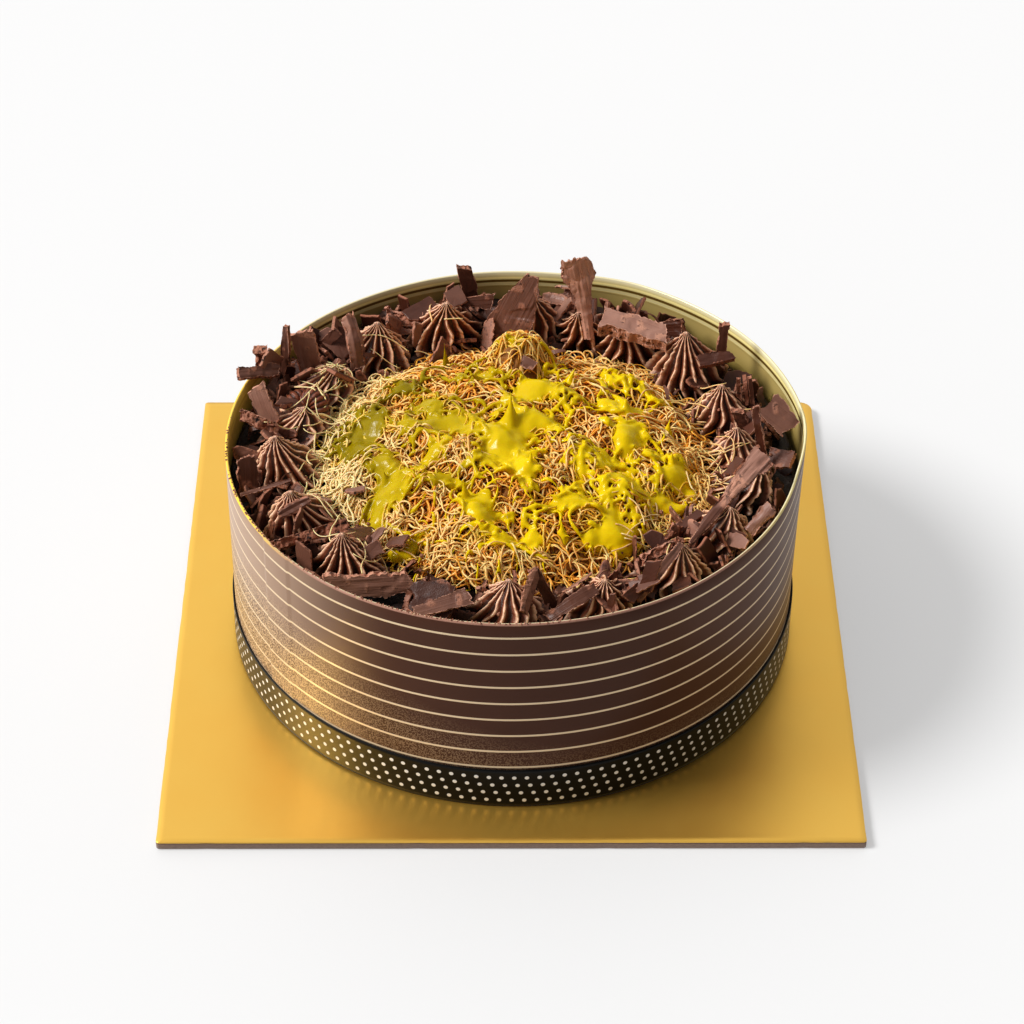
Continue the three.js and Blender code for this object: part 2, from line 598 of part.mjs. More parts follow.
const hard = hardNeighbours();
const coreCutter = heapCore(CUT_MARGIN);
const cutters = [];
ROSETTES.forEach((rosette, i) => {
  const solid = carve(rosetteSolid(rosette, 0), [...hard, coreCutter, ...cutters]);
  cutters.push(rosetteSolid(rosette, CUT_MARGIN));
  place(cake, `rosette_${twoDigits(i + 1)}`, toGeometry(solid), finish.piped);
});
SHARDS.forEach((shard, i) => {
  const solid = carve(shardSolid(shard, i + 1, 0), [...hard, coreCutter, ...cutters]);
  cutters.push(shardSolid(shard, i + 1, GAP));
  place(cake, `shard_${twoDigits(i + 1)}`, toGeometry(solid), finish.shard);
});
place(cake, 'kunafa', toGeometry(kunafaSolid(heapCore(0), cutters)), finish.kunafa);

const part = new THREE.Group();
part.add(cake);
place(part, 'board', boardGeometry(), finish.foil);

export default part;
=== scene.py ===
"""Looks of a round kunafa cake in a lined collar, on its square gold board.

Lengths are in millimetres from the cake's centre on the underside of the board, unless a name says
otherwise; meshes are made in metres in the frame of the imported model.
"""
import itertools
import math

import bpy
import numpy as np
from mathutils import Matrix, Vector
from mathutils.bvhtree import BVHTree


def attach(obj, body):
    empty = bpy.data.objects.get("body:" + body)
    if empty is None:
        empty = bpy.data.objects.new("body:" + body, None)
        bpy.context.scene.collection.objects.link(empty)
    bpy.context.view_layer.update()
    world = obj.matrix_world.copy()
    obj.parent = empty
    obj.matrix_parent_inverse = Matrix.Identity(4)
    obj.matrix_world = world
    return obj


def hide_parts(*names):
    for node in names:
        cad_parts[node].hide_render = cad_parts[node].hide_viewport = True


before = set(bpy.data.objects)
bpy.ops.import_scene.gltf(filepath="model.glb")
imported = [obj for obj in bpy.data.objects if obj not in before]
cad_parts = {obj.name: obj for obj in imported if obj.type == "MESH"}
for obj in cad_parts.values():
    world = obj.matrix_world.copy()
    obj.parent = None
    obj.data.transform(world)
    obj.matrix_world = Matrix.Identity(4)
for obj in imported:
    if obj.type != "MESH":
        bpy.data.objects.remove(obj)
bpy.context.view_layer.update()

# Driving dimensions, the same as the model's
MM = 0.001
GAP = 0.3
BOARD_SIDE = 250
BOARD_THICKNESS = 3.4
BOARD_CORNER = 1.2
BOARD_WORN_CORNER = 5
CAKE_CENTRE = np.array([1.0, -2.0, 0.0])
COLLAR_RADIUS = 104.8
COLLAR_THICKNESS = 1
RIM_HEIGHT = 88
RIM_LEAN = (0.0073, -0.019)
COLLAR_WAIST = 26
# Outward flare of the rim: how far, plan direction, half spread and fade in degrees
RIM_FLARE = (2.7, 34, 49, 22)
RIBBON_WIDTH = 17.5
RIBBON_THICKNESS = 0.6
CREAM_TOP = 74
STAND = CREAM_TOP + GAP
COLLAR_FOOT = BOARD_THICKNESS + GAP
ALL_ROUND = 360
SQUARE = ((-1, -1), (1, -1), (1, 1), (-1, 1))

# Camera and light
CAMERA_PLACE = (-7.02, -876.8, 790.7)
CAMERA_LOOK = (0.0067, 0.7637, -0.6455)
CAMERA_ROLL = 0.286
CAMERA_LENS = 108.37
KEY_FROM = (-0.72, -0.04, 0.69)
KEY_STRENGTH = 2.5
KEY_SOFTNESS = 20
# How bright the studio is all round, and how that changes from its middle to its right and its back
FILL = 0.46
FILL_CHANGE = (-0.24, 0.3, 0.0)
FILL_TONE = (1, 0.99, 0.98, 1)
FLOOR_GLOW = 0.3
FLOOR_HALF = 4000
FLOOR_DROP = 0.1


# Helpers for numbers
def smooth(value):
    """0 up to 0, 1 from 1, smooth between."""
    t = np.clip(value, 0, 1)
    return t * t * (3 - 2 * t)


def noise(points, size, seed=0):
    """Smooth repeatable values between -1 and 1 at points, with lumps of the given size.

    The large numbers only mix the bits of a cell's place.
    """
    cell = np.floor(points / size)
    inside = points / size - cell
    inside = inside * inside * (3 - 2 * inside)
    cell = cell.astype(np.int64)
    total = np.zeros(points.shape[:-1])
    for corner in itertools.product((0, 1), repeat=3):
        i, j, k = np.moveaxis(cell + corner, -1, 0)
        mixed = (i * 73856093) ^ (j * 19349663) ^ (k * 83492791) ^ (seed * 961748927)
        mixed = ((mixed ^ (mixed >> 13)) * 1274126177) & 0x7FFFFFFF
        mixed = ((mixed ^ (mixed >> 15)) * 668265263) & 0x7FFFFFFF
        weight = np.prod(np.where(corner, inside, 1 - inside), axis=-1)
        total += weight * (2 * mixed / 0x7FFFFFFF - 1)
    return total


def plan_noise(x, y, size, seed=0):
    """The same noise over places in plan."""
    x, y = np.broadcast_arrays(x, y)
    return noise(np.stack([x, y, np.zeros_like(x, dtype=float)], -1), size, seed)


# Helpers for meshes
def grid_faces(rows, columns, wrap):
    """Triangles between the neighbouring points of a grid; wrap joins its last column to its first."""
    last = columns if wrap else columns - 1
    row, column = np.meshgrid(np.arange(rows - 1), np.arange(last), indexing="ij")
    a = row * columns + column
    b = row * columns + (column + 1) % columns
    lower = np.stack([a, b, b + columns], -1).reshape(-1, 3)
    upper = np.stack([a, b + columns, a + columns], -1).reshape(-1, 3)
    return np.concatenate([lower, upper])


def loft(rings):
    """A closed body through rings of points that run anticlockwise seen from the last ring."""
    rows, columns, _ = rings.shape
    points = np.concatenate([rings.reshape(-1, 3), rings[:1].mean(1), rings[-1:].mean(1)])
    first = rows * columns
    j = np.arange(columns)
    after = (j + 1) % columns
    top = (rows - 1) * columns
    start = np.stack([np.full(columns, first), after, j], -1)
    end = np.stack([np.full(columns, first + 1), top + j, top + after], -1)
    return points, np.concatenate([grid_faces(rows, columns, True), start, end])


def tube(path, radii, sides=5):
    """A closed round tube along a path."""
    along = np.gradient(path, axis=0)
    along /= np.linalg.norm(along, axis=1, keepdims=True)
    side = np.cross(along, (0.05, 0.02, 1))
    side /= np.linalg.norm(side, axis=1, keepdims=True)
    other = np.cross(along, side)
    turn = np.arange(sides) / sides * 2 * math.pi
    spoke = np.cos(turn)[:, None] * side[:, None] + np.sin(turn)[:, None] * other[:, None]
    return loft(path[:, None] + np.asarray(radii)[:, None, None] * spoke)


class Pile:
    """Bodies that are joined into one mesh, with named values on their points."""

    def __init__(self):
        self.points = []
        self.faces = []
        self.named = {}
        self.count = 0

    def add(self, body, **named):
        points, faces = body
        self.points.append(points)
        self.faces.append(faces + self.count)
        for name, value in named.items():
            on_points = np.broadcast_to(np.asarray(value, dtype=float), len(points))
            self.named.setdefault(name, []).append(on_points)
        self.count += len(points)

    def joined(self):
        return np.concatenate(self.points), np.concatenate(self.faces)

    def values(self):
        return {name: np.concatenate(parts) for name, parts in self.named.items()}


def around(count):
    """Angles in radians spread evenly round a circle."""
    return np.linspace(0, 2 * math.pi, count, endpoint=False)


def on_circle(radius, angle):
    return radius * np.cos(angle), radius * np.sin(angle)


def new_object(name, data):
    made = bpy.data.objects.new(name, data)
    bpy.context.scene.collection.objects.link(made)
    return made


def new_mesh(name, points, faces):
    """A mesh in metres from points in millimetres."""
    mesh = bpy.data.meshes.new(name)
    mesh.vertices.add(len(points))
    mesh.vertices.foreach_set("co", ((points + CAKE_CENTRE) * MM).ravel())
    mesh.loops.add(faces.size)
    mesh.loops.foreach_set("vertex_index", faces.ravel())
    mesh.polygons.add(len(faces))
    mesh.polygons.foreach_set("loop_start", np.arange(len(faces)) * faces.shape[1])
    mesh.update(calc_edges=True)
    return mesh


def mesh_arrays(mesh):
    """Points, triangles and point normals of a mesh."""
    mesh.calc_loop_triangles()
    points = np.empty(len(mesh.vertices) * 3)
    mesh.vertices.foreach_get("co", points)
    faces = np.empty(len(mesh.loop_triangles) * 3, dtype=np.int32)
    mesh.loop_triangles.foreach_get("vertices", faces)
    normals = np.empty(len(mesh.vertices) * 3)
    mesh.vertex_normals.foreach_get("vector", normals)
    return points.reshape(-1, 3) / MM - CAKE_CENTRE, faces.reshape(-1, 3), normals.reshape(-1, 3)


def fused(body, cell, smoothing=0, sharp=False):
    """One skin round closed bodies that may overlap: points, triangles and point normals."""
    draft = new_object("draft", new_mesh("draft", *body))
    skin = draft.modifiers.new("skin", "REMESH")
    if sharp:
        skin.mode = "SHARP"
        skin.scale = 0.9
        skin.octree_depth = math.ceil(math.log2(np.ptp(body[0], axis=0).max() / cell / skin.scale))
    else:
        skin.mode = "VOXEL"
        skin.voxel_size = cell * MM
    if smoothing:
        relax = draft.modifiers.new("relax", "SMOOTH")
        relax.iterations = smoothing
        relax.factor = 0.5
    solved = draft.evaluated_get(bpy.context.evaluated_depsgraph_get())
    arrays = mesh_arrays(solved.to_mesh())
    solved.to_mesh_clear()
    bpy.data.meshes.remove(draft.data)
    return arrays


def add_piece(name, body, material, replaces=(), values=None, crease=180):
    """A finished piece of the cake, with any named values on its points and edges sharp from an angle."""
    mesh = new_mesh(name, *body)
    for key, value in (values or {}).items():
        mesh.attributes.new(key, "FLOAT", "POINT").data.foreach_set("value", np.ascontiguousarray(value))
    mesh.polygons.foreach_set("use_smooth", np.full(len(mesh.polygons), crease > 0))
    if 0 < crease < 180:
        mesh.set_sharp_from_angle(angle=math.radians(crease))
    mesh.materials.append(material)
    piece = new_object(name, mesh)
    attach(piece, "root")
    if replaces:
        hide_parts(*replaces)
    return piece


# Helpers for materials
def colour(code):
    """A linear colour from six hex digits as seen on a screen."""
    parts = [int(code[i:i + 2], 16) / 255 for i in (0, 2, 4)]
    return (*[p / 12.92 if p < 0.04045 else ((p + 0.055) / 1.055) ** 2.4 for p in parts], 1)


def add_node(tree, kind, operation=None, inputs=None, **settings):
    """A node whose inputs are values or the sockets that feed them."""
    node = tree.nodes.new(kind)
    if operation:
        node.operation = operation
    for key, value in settings.items():
        setattr(node, key, value)
    for key, value in (inputs or {}).items():
        if isinstance(value, bpy.types.NodeSocket):
            tree.links.new(value, node.inputs[key])
        else:
            node.inputs[key].default_value = value
    return node


class Surface:
    """A material and the nodes that colour it. Noise sizes are in millimetres."""

    def __init__(self, name, **sockets):
        self.material = bpy.data.materials.new(name)
        self.material.use_nodes = True
        self.tree = self.material.node_tree
        self.shader = self.tree.nodes["Principled BSDF"]
        for key, value in sockets.items():
            self.shader.inputs[key.replace("_", " ").title().replace("Ior", "IOR")].default_value = value
        place = self.add("ShaderNodeTexCoord").outputs["Object"]
        self.place = self.add("ShaderNodeVectorMath", "SCALE", {"Vector": place, "Scale": 1 / MM}).outputs[0]

    def add(self, kind, operation=None, inputs=None, **settings):
        return add_node(self.tree, kind, operation, inputs, **settings)

    def math(self, operation, *terms, clamp=False):
        node = self.add("ShaderNodeMath", operation, dict(enumerate(terms)), use_clamp=clamp)
        return node.outputs[0]

    def plus(self, *terms, **options):
        return self.math("ADD", *terms, **options)

    def minus(self, *terms, **options):
        return self.math("SUBTRACT", *terms, **options)

    def times(self, *terms):
        return self.math("MULTIPLY", *terms)

    def scaled(self, value, factor, start):
        return self.math("MULTIPLY_ADD", value, factor, start)

    def step(self, value, low, high):
        """0 up to low, 1 from high, smooth between."""
        inputs = {"Value": value, "From Min": low, "From Max": high}
        return self.add("ShaderNodeMapRange", None, inputs, interpolation_type="SMOOTHSTEP").outputs[0]

    def noise(self, size, detail=3.0, where=None, stretch=None):
        where = where or self.place
        if stretch:
            where = self.add("ShaderNodeVectorMath", "MULTIPLY", {0: where, 1: stretch}).outputs[0]
        inputs = {"Vector": where, "Scale": 1 / size, "Detail": detail}
        return self.add("ShaderNodeTexNoise", None, inputs).outputs["Fac"]

    def mix(self, factor, first, second):
        """From the first colour to the second; colours are hex digits or sockets."""
        node = self.add("ShaderNodeMix", None, {"Factor": factor}, data_type="RGBA")
        for socket, value in ((node.inputs[6], first), (node.inputs[7], second)):
            if isinstance(value, str):
                socket.default_value = colour(value)
            else:
                self.tree.links.new(value, socket)
        return node.outputs[2]

    def value(self, name):
        return self.add("ShaderNodeAttribute", attribute_name=name).outputs["Fac"]

    def split_place(self, axis):
        return self.add("ShaderNodeSeparateXYZ", None, {0: self.place}).outputs[axis]

    def out_of_painted_gap_shade(self):
        """How far a place is out of the shade painted into the gaps over the cake's cream, from part to all.
        """
        height = self.split_place(2)
        # Painted shade: low in the gaps a near black covers 60 percent of the colour, fading out about 9 mm
        # above the cake's cream.
        return self.scaled(self.step(height, STAND - 1, STAND + 9), 0.6, 0.4)

    def link(self, source, socket):
        self.tree.links.new(source, self.shader.inputs[socket])

    def bump(self, height, depth):
        """Relief from a height between 0 and 1, as deep as given."""
        node = self.add("ShaderNodeBump", None, {"Height": height, "Distance": depth * MM})
        self.link(node.outputs[0], "Normal")


# Heap of kunafa: the same mound, tuft and pools of cream as the model's
HEAP_RADIUS = 67
HEAP_BACK_SHORT = 9
HEAP_EDGE = 5
HEAP_CROWN = 16.5
HEAP_FULLNESS = 0.75
HEAP_LUMP = 1.8
TUFT_AT = (3, 44)
TUFT_REACH = 16
TUFT_RISE = 12
TUFT_FULLNESS = 1.5
# Each pool: middle, half sizes, turn in degrees, rise above the mound
CREAM_POOLS = [
    ((-41, 24), (10, 5), 20, 3),
    ((-54, 5), (11, 7), -8, 4),
    ((-56, -5), (8, 6), 0, 4),
    ((-46, -19), (9, 6), -10, 4.5),
    ((-31, 10), (6.5, 7), 0, 5),
    ((-25, -2), (11, 7), -10, 5),
    ((-39, -2), (10, 4), -8, 3),
    ((-29, -17), (6, 6), 0, 4),
    ((-14, 29), (10, 6), 20, 2.6),
    ((1, 42), (9, 6), 0, 2.6),
    ((11, 31), (5, 4), 0, 2.4),
    ((7, 18), (11, 9), 10, 5.5),
    ((-2, -13), (10, 14), 8, 6),
    ((12, -3), (11, 7), -15, 5),
    ((38, 32), (10, 6), 10, 3.4),
    ((52, 25), (4.5, 7), 10, 3.4),
    ((36, 13), (7, 6), 0, 4.5),
    ((41, -7), (7, 11), 0, 6),
    ((27, -54), (6, 5), 20, 4),
    ((24, -24), (3, 11), 0, 4.5),
    ((31, -20), (3, 6), 0, 4),
    ((-44, -32), (8, 9), 0, 5),
    ((-50, -43), (5, 9), 0, 4.5),
    ((-26, -29), (9, 4), -6, 4),
    ((-12, -46), (8.5, 10), 8, 6),
    ((-38, -55), (11, 5), 12, 4),
    ((-3, -58), (9, 4), 0, 3.4),
    ((5, -28), (5, 7), 0, 4.5),
    ((19, -41), (12, 6), 15, 4.5),
    ((40, -27), (11, 7), 0, 4.5),
    ((6, -56), (6, 5), -4, 4.5),
    ((38, -54), (7, 5), 30, 4.5),
    ((35, -47), (5, 9), 0, 4),
    ((54, -33), (9, 5), 0, 4),
    ((59, -21), (8.5, 7.5), 0, 5),
    ((46, -46), (7, 3), 0, 3),
]
# Each peak of cream: foot, lean towards its tip, height, foot radius
CREAM_PEAKS = [
    ((-1, -5), (0, 4), 14, 5),
    ((20, 24), (4, 3), 8, 3.5),
    ((-17, -40), (-1, 2), 9, 4),
    ((-45, -28), (-2, 3), 8, 3.5),
    ((6, -28), (0, 3), 9, 2.6),
    ((57, -16), (0, 3), 8, 3),
    ((17, -55), (-1, 3), 8, 2.4),
    ((41, 8), (0, 2), 5, 6),
    ((-25, 44), (-1, 3), 13, 1.8),
    ((56, 4), (2, 3), 7, 2.6),
]


def heap_edge(angle):
    wave = 1.8 * np.sin(3 * angle + 0.6) + 1.4 * np.sin(7 * angle + 1.9) + np.sin(13 * angle)
    return HEAP_RADIUS - HEAP_BACK_SHORT * smooth(np.sin(angle)) + wave


def heap_reach(x, y):
    """How far out a place is: 0 in the middle of the heap, 1 at its edge."""
    return np.hypot(x, y) / heap_edge(np.arctan2(y, x))


def mound_height(x, y):
    reach = np.minimum(1, heap_reach(x, y))
    mound = HEAP_EDGE + HEAP_CROWN * (1 - reach ** 2) ** HEAP_FULLNESS
    lumps = np.sin(x / 6.1 + 1.3) * np.cos(y / 5.3) + 0.7 * np.sin((x + y) / 3.7)
    away = np.hypot(x - TUFT_AT[0], y - TUFT_AT[1]) / TUFT_REACH
    tuft = TUFT_RISE * smooth((1 - away) * TUFT_FULLNESS)
    settled = smooth((1 - reach) * 6)
    return STAND + mound + tuft + settled * HEAP_LUMP * lumps


def cream_depth(x, y):
    """How thick the cream lies over the mound; less than nothing away from it, by up to 2."""
    laid = np.zeros(np.broadcast(x, y).shape)
    for (at_x, at_y), half, turn, height in CREAM_POOLS:
        angle = math.radians(turn)
        dx, dy = x - at_x, y - at_y
        u = (dx * math.cos(angle) + dy * math.sin(angle)) / half[0]
        v = (dy * math.cos(angle) - dx * math.sin(angle)) / half[1]
        laid = laid + height * np.exp(-1.35 * (u * u + v * v))
    lace = 2.25 + 1.0 * plan_noise(x, y, 6.5, 51) + 0.7 * plan_noise(x, y, 3.0, 52)
    return np.minimum(laid - lace, 4.5)


# Rosettes: their ring's radius, and how wide they are at some levels from foot to tip
ROSETTE_RING = 83
ROSETTE_LEVELS = (0, 0.15, 0.45, 0.8, 1)
ROSETTE_WIDTHS = (0.95, 1, 0.68, 0.27, 0.05)
# Each rosette: tip, foot radius, twist in degrees, ridges
ROSETTES = [
    ((-2, -83, 91), 15.3, 20, 11),
    ((31, -82, 90), 15.3, -15, 11),
    ((58, -64, 90), 15.8, 10, 12),
    ((76, -46, 92), 15.3, 25, 10),
    ((88, -18, 90), 14.3, 20, 10),
    ((81, -1, 92), 14.3, 30, 10),
    ((77, 23, 93), 14.3, 15, 10),
    ((65, 50, 97), 16.3, -15, 11),
    ((42, 64, 92), 15.8, 10, 11),
    ((25, 68, 93), 13.8, 20, 10),
    ((8, 79, 93), 14.8, 10, 11),
    ((-25, 70, 96), 17.3, -25, 11),
    ((-51, 63, 92), 15.3, 15, 12),
    ((-67, 37, 91), 15.8, 30, 10),
    ((-77, 15, 89), 14.8, 32, 10),
    ((-86, -7, 93), 15.3, -20, 11),
    ((-79, -38, 93), 16.3, -15, 12),
    ((-60, -61, 93), 15.3, 10, 12),
]
RIDGE_POINTS = 12
RIDGE_LEVELS = 38
RIDGE_WIDTH = 0.25
GROOVE_DEPTH = 0.32
ROSETTE_SUNK = 0.8
# Ridges for each one of the model's
RIDGES_SHARED = 1.25
# Numbers of the rosettes piped loosely
LOOPY_ROSETTES = (14, 15)
# Loops of ribbed rope between the loose rosettes: three places along each, and its radius
ROPES = [
    (((-78, 26, 79), (-73.5, 24, 86.5), (-70, 19, 79)), 3.6),
    (((-84, 24, 78), (-80, 27, 84), (-75, 31, 78)), 3.2),
]
ROPE_RIB = 1.7
ROPE_STEPS = 90
ROPE_SIDES = 18


def rosette_body(tip, foot, twist, ridges, seed):
    """A piped star drawn up to its tip, and how near each point is to the crest of a ridge."""
    random = np.random.default_rng(seed)
    ridges = round(ridges * RIDGES_SHARED)
    t = np.linspace(0, 1, RIDGE_LEVELS)[:, None]
    sides = ridges * RIDGE_POINTS
    j = np.arange(sides)
    ridge = j // RIDGE_POINTS
    across = (j % RIDGE_POINTS) / RIDGE_POINTS - 0.5
    crest = np.exp(-(np.abs(across / RIDGE_WIDTH) ** 1.5))[None]
    phase = random.uniform(0, 6.3, ridges)[ridge][None]
    reach = random.uniform(0.9, 1.06, ridges)[ridge][None]
    spot = np.stack(np.broadcast_arrays(t * 24, ridge[None] * 5.0 + seed * 3, np.zeros_like(t)), -1)
    ragged = noise(spot, 1.0, 3)
    wander = noise(spot, 6.0, 4) * (2.6 if seed in LOOPY_ROSETTES else 1)
    width = np.interp(t, ROSETTE_LEVELS, ROSETTE_WIDTHS)
    depth = GROOVE_DEPTH * (1 - 0.35 * t)
    radius = foot * width * (reach + 0.06 * wander) * (1 - depth * (1 - crest))
    radius = radius + (0.65 * ragged * crest) * smooth((1 - t) * 8)
    pitch = 2 * math.pi / ridges
    sway = pitch * (0.34 * wander + 0.06 * np.sin(9 * t + phase)) * smooth(4 * t)
    angle = j / sides * 2 * math.pi + math.radians(twist) * t + sway
    outward = ROSETTE_RING / math.hypot(tip[0], tip[1])
    along = smooth(t)
    x = tip[0] * (outward + (1 - outward) * along) + radius * np.cos(angle)
    y = tip[1] * (outward + (1 - outward) * along) + radius * np.sin(angle)
    foot_level = STAND - ROSETTE_SUNK
    z = foot_level + (tip[2] - foot_level) * t + 0.5 * wander * crest * smooth((1 - t) * 5)
    body = loft(np.stack(np.broadcast_arrays(x, y, z), -1))
    # Nearness to a crest, a little more towards the tip, which the finish turns into painted shade and
    # highlight.
    painted_ridge_shading = np.broadcast_to(crest * (0.8 + 0.2 * t), (RIDGE_LEVELS, sides)).ravel()
    return body, np.append(painted_ridge_shading, (0, 1))


def rope_body(path, thickness):
    """A short piped rope with ribs across it, through three places."""
    t = np.linspace(0, 1, ROPE_STEPS)[:, None]
    start, middle, end = np.array(path, dtype=float)
    line = (1 - t) ** 2 * start + 2 * t * (1 - t) * (2 * middle - (start + end) / 2) + t ** 2 * end
    length = np.linalg.norm(np.diff(line, axis=0), axis=1).sum()
    rib = np.abs(np.sin(math.pi * t[:, 0] * length / ROPE_RIB))
    rounded = (1 - (2 * t[:, 0] - 1) ** 6) ** 0.5
    radii = thickness * (0.84 + 0.16 * rib) * np.maximum(0.15, rounded)
    # The ribs' values give painted shade between the ribs in the finish.
    return tube(line, radii, ROPE_SIDES), np.append(np.repeat(0.42 * rib, ROPE_SIDES), (0, 0))


def make_ropes(material):
    pile = Pile()
    for path, thickness in ROPES:
        body, crest = rope_body(path, thickness)
        pile.add(body, crest=crest)
    return add_piece("piped_ropes", pile.joined(), material, values=pile.values())


def make_rosettes(material):
    pieces = []
    for i, (tip, foot, twist, ridges) in enumerate(ROSETTES):
        name = f"rosette_{i + 1:02d}"
        body, crest = rosette_body(tip, foot, twist, ridges, i + 1)
        piece = add_piece(f"piped_{name}", body, material, [name], {"crest": crest})
        pieces.append(piece)
    return pieces


# Shards
SHARD_CELL = 0.5
SHARD_CREASE = 32
# How much the grain's noise is squeezed along, across and through a shard
GRAIN_STRETCH = (0.12, 1, 0.2)
# Shards broken all over, and the lump with deep pits and no grain
RUGGED = {"shard_13", "shard_18", "shard_21", "shard_24", "shard_30"}
PITTED = {"shard_27"}
# Shards whose upper part is torn, and how deep their ends are frayed
TORN_ABOVE = {"shard_01": 2.6, "shard_28": 1.8}
# Shards with a rougher long edge, and how deep it is broken away
ROUGH_EDGED = {"shard_25": 2.2, "shard_03": 1.6}
# How light the faces of some shards are, from 0 to 1; less than 0 is darker than the rest
SHARD_PALE = {
    "shard_01": 0.9, "shard_03": 0.72, "shard_04": 0.35, "shard_16": 0.6, "shard_20": 0.9, "shard_24": 0.0,
    "shard_25": 0.7, "shard_27": -0.3, "shard_28": 0.1, "shard_31": 0.5,
}


def chipped(local, half, line, across, bite, seed):
    """Local points with the two edges along one axis broken away in steps and notches."""
    out = local.copy()
    edge = smooth((np.abs(local[:, across]) / half[across] - 0.35) / 0.5)
    spot = np.stack([local[:, line], np.sign(local[:, across]) * 50, 0.35 * local[:, 2]], -1)
    steps = np.round(1.6 * noise(spot, 4.2, seed)) / 1.6 + 0.7 * noise(spot, 1.9, seed + 1)
    notches = np.maximum(0, noise(spot, 1.2, seed + 2)) + 0.35 * noise(spot, 0.7, seed + 3)
    bites = np.maximum(0, 0.45 + 0.5 * steps + 0.45 * notches)
    out[:, across] -= np.sign(local[:, across]) * bite * edge * bites
    return out


def shard_body(name, seed):
    """The broken piece at a node's place: its body, and values on its points."""
    node_points, node_faces, _ = mesh_arrays(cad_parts[name].data)
    points, faces, normals = fused((node_points, node_faces), SHARD_CELL, sharp=True)
    centre = points.mean(0)
    axes = np.linalg.svd(points - centre, full_matrices=False)[2]
    local = (points - centre) @ axes.T
    half = np.abs(local).max(0)
    facing = np.abs(normals @ axes[2])
    rugged = name in RUGGED
    broken = np.ones(len(points)) if rugged else 1 - smooth((facing - 0.6) / 0.25)
    local = chipped(local, half, 0, 1, ROUGH_EDGED.get(name, min(1.1, 0.2 * half[1])), seed)
    local = chipped(local, half, 1, 0, TORN_ABOVE.get(name, min(1.6, 0.16 * half[0])), seed + 5)
    points = centre + local @ axes
    height = (points[:, 2] - points[:, 2].min()) / np.ptp(points[:, 2])
    torn = smooth((height - 0.5) / 0.12) if name in TORN_ABOVE else 0 * height
    crumble = np.maximum(0, 0.15 + 0.5 * noise(points, 1.5, seed) + 0.4 * noise(points, 0.9, seed + 2))
    if rugged:
        crumble += 1.8 * smooth(1.8 * noise(points, 4.2, seed + 3))
        crumble += 0.4 * np.abs(noise(points, 2.0, seed + 6))
    groove = 0.5 + 0.5 * noise(local * GRAIN_STRETCH, 0.9, seed + 7)
    grain = local[:, 1]
    if name in PITTED:
        pits = smooth(3 * noise(points, 4.8, seed + 3) - 0.7)
        broken = 0.1 + 0.4 * pits
        crumble = 5 * pits + 1.3 * np.abs(noise(points, 4.5, seed + 6))
        crumble += 0.7 * np.abs(noise(points, 1.8, seed + 4))
        groove = np.zeros(len(points))
        grain = groove
    flaked = smooth(2.5 * noise(points, 5.0, seed + 8) - 0.5)
    room = min(1, half[2] / 1.3)
    inward = room * (0.3 * groove * (1 + 2.4 * torn) + 0.4 * flaked * (1 - broken))
    inward += broken * crumble * min(1, 0.5 + 0.4 * half[2])
    points = points - normals * inward[:, None]
    broken = np.maximum(broken, 0.7 * smooth(3 * noise(points, 3.2, seed + 9) - 1.1))
    # Rims of the faces, which the finish paints with a highlight.
    edge = smooth(1 - np.abs(facing - 0.68) / 0.26) * (0.3 if name in PITTED else 1)
    return (points, faces), {"broken": broken, "grain": grain, "edge": edge, "torn": torn}


def make_shards(material):
    names = sorted(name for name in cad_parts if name.startswith("shard_"))
    random = np.random.default_rng(5)
    pieces = []
    for seed, name in enumerate(names):
        body, values = shard_body(name, 10 * seed)
        pale = SHARD_PALE.get(name, random.uniform(0, 0.35))
        values["pale"] = np.minimum(1, pale + 0.6 * values.pop("torn"))
        piece = add_piece(f"broken_{name}", body, material, [name], values, SHARD_CREASE)
        pieces.append(piece)
    return pieces


# Places on what is already there
def solid_below(pieces):
    """What small things come to rest on, as a tree for ray casts."""
    pile = Pile()
    for piece in pieces:
        points, faces, _ = mesh_arrays(piece.data)
        pile.add((points, faces))
    points, faces = pile.joined()
    return BVHTree.FromPolygons(points.tolist(), faces.tolist())


def landing(tree, x, y):
    """Where something dropped at a place in plan comes to rest, and the way that spot faces."""
    hit, normal, _, _ = tree.ray_cast(Vector((x, y, DROP_FROM)), Vector((0, 0, -1)))
    return np.array(hit), np.array(normal)


# Loose bits of chocolate
SPLINTER_SECTION = np.array([
    (1, -0.4), (1, 0.4), (0.55, 1), (0, 1), (-0.55, 1), (-1, 0.4), (-1, -0.4), (-0.5, -1), (0.5, -1),
])
CRUMB_SECTION = np.array([(1, 0), (0.4, 0.9), (-0.6, 0.8), (-1, -0.1), (-0.4, -0.9), (0.7, -0.7)])
# Each ring of a chip and of a crumb: share of its width and height
CHIP_RINGS = ((0.93, -0.5), (1, -0.3), (1, 0.3), (0.95, 0.5))
CRUMB_RINGS = ((0.6, -0.8), (1, 0), (0.55, 0.8))
CURL_STEPS = 14
DROP_FROM = 200
SPLINTER_COUNT = 520
CHIP_COUNT = 150
CURL_COUNT = 110
CRUMB_COUNT = 1500
RIM_CRUMBS = 260
# Where crumbs stick to the rim, in degrees: from, most and to
RIM_CRUMB_SIDES = (165, 245, 300)
RUBBLE_INNER = 55
RUBBLE_OUTER = 101
# Places where larger chips lie piled up, with the spread of each
CHIP_PILES = [
    ((-88, 38), 9), ((-72, 62), 8), ((-94, 8), 8), ((-94, -26), 7), ((-76, -60), 7),
    ((-45, 84), 9), ((-12, 90), 7), ((22, 88), 7), ((50, 80), 9), ((88, 36), 8),
    ((95, 8), 7), ((92, -30), 6), ((76, -60), 6), ((44, -76), 6),
]
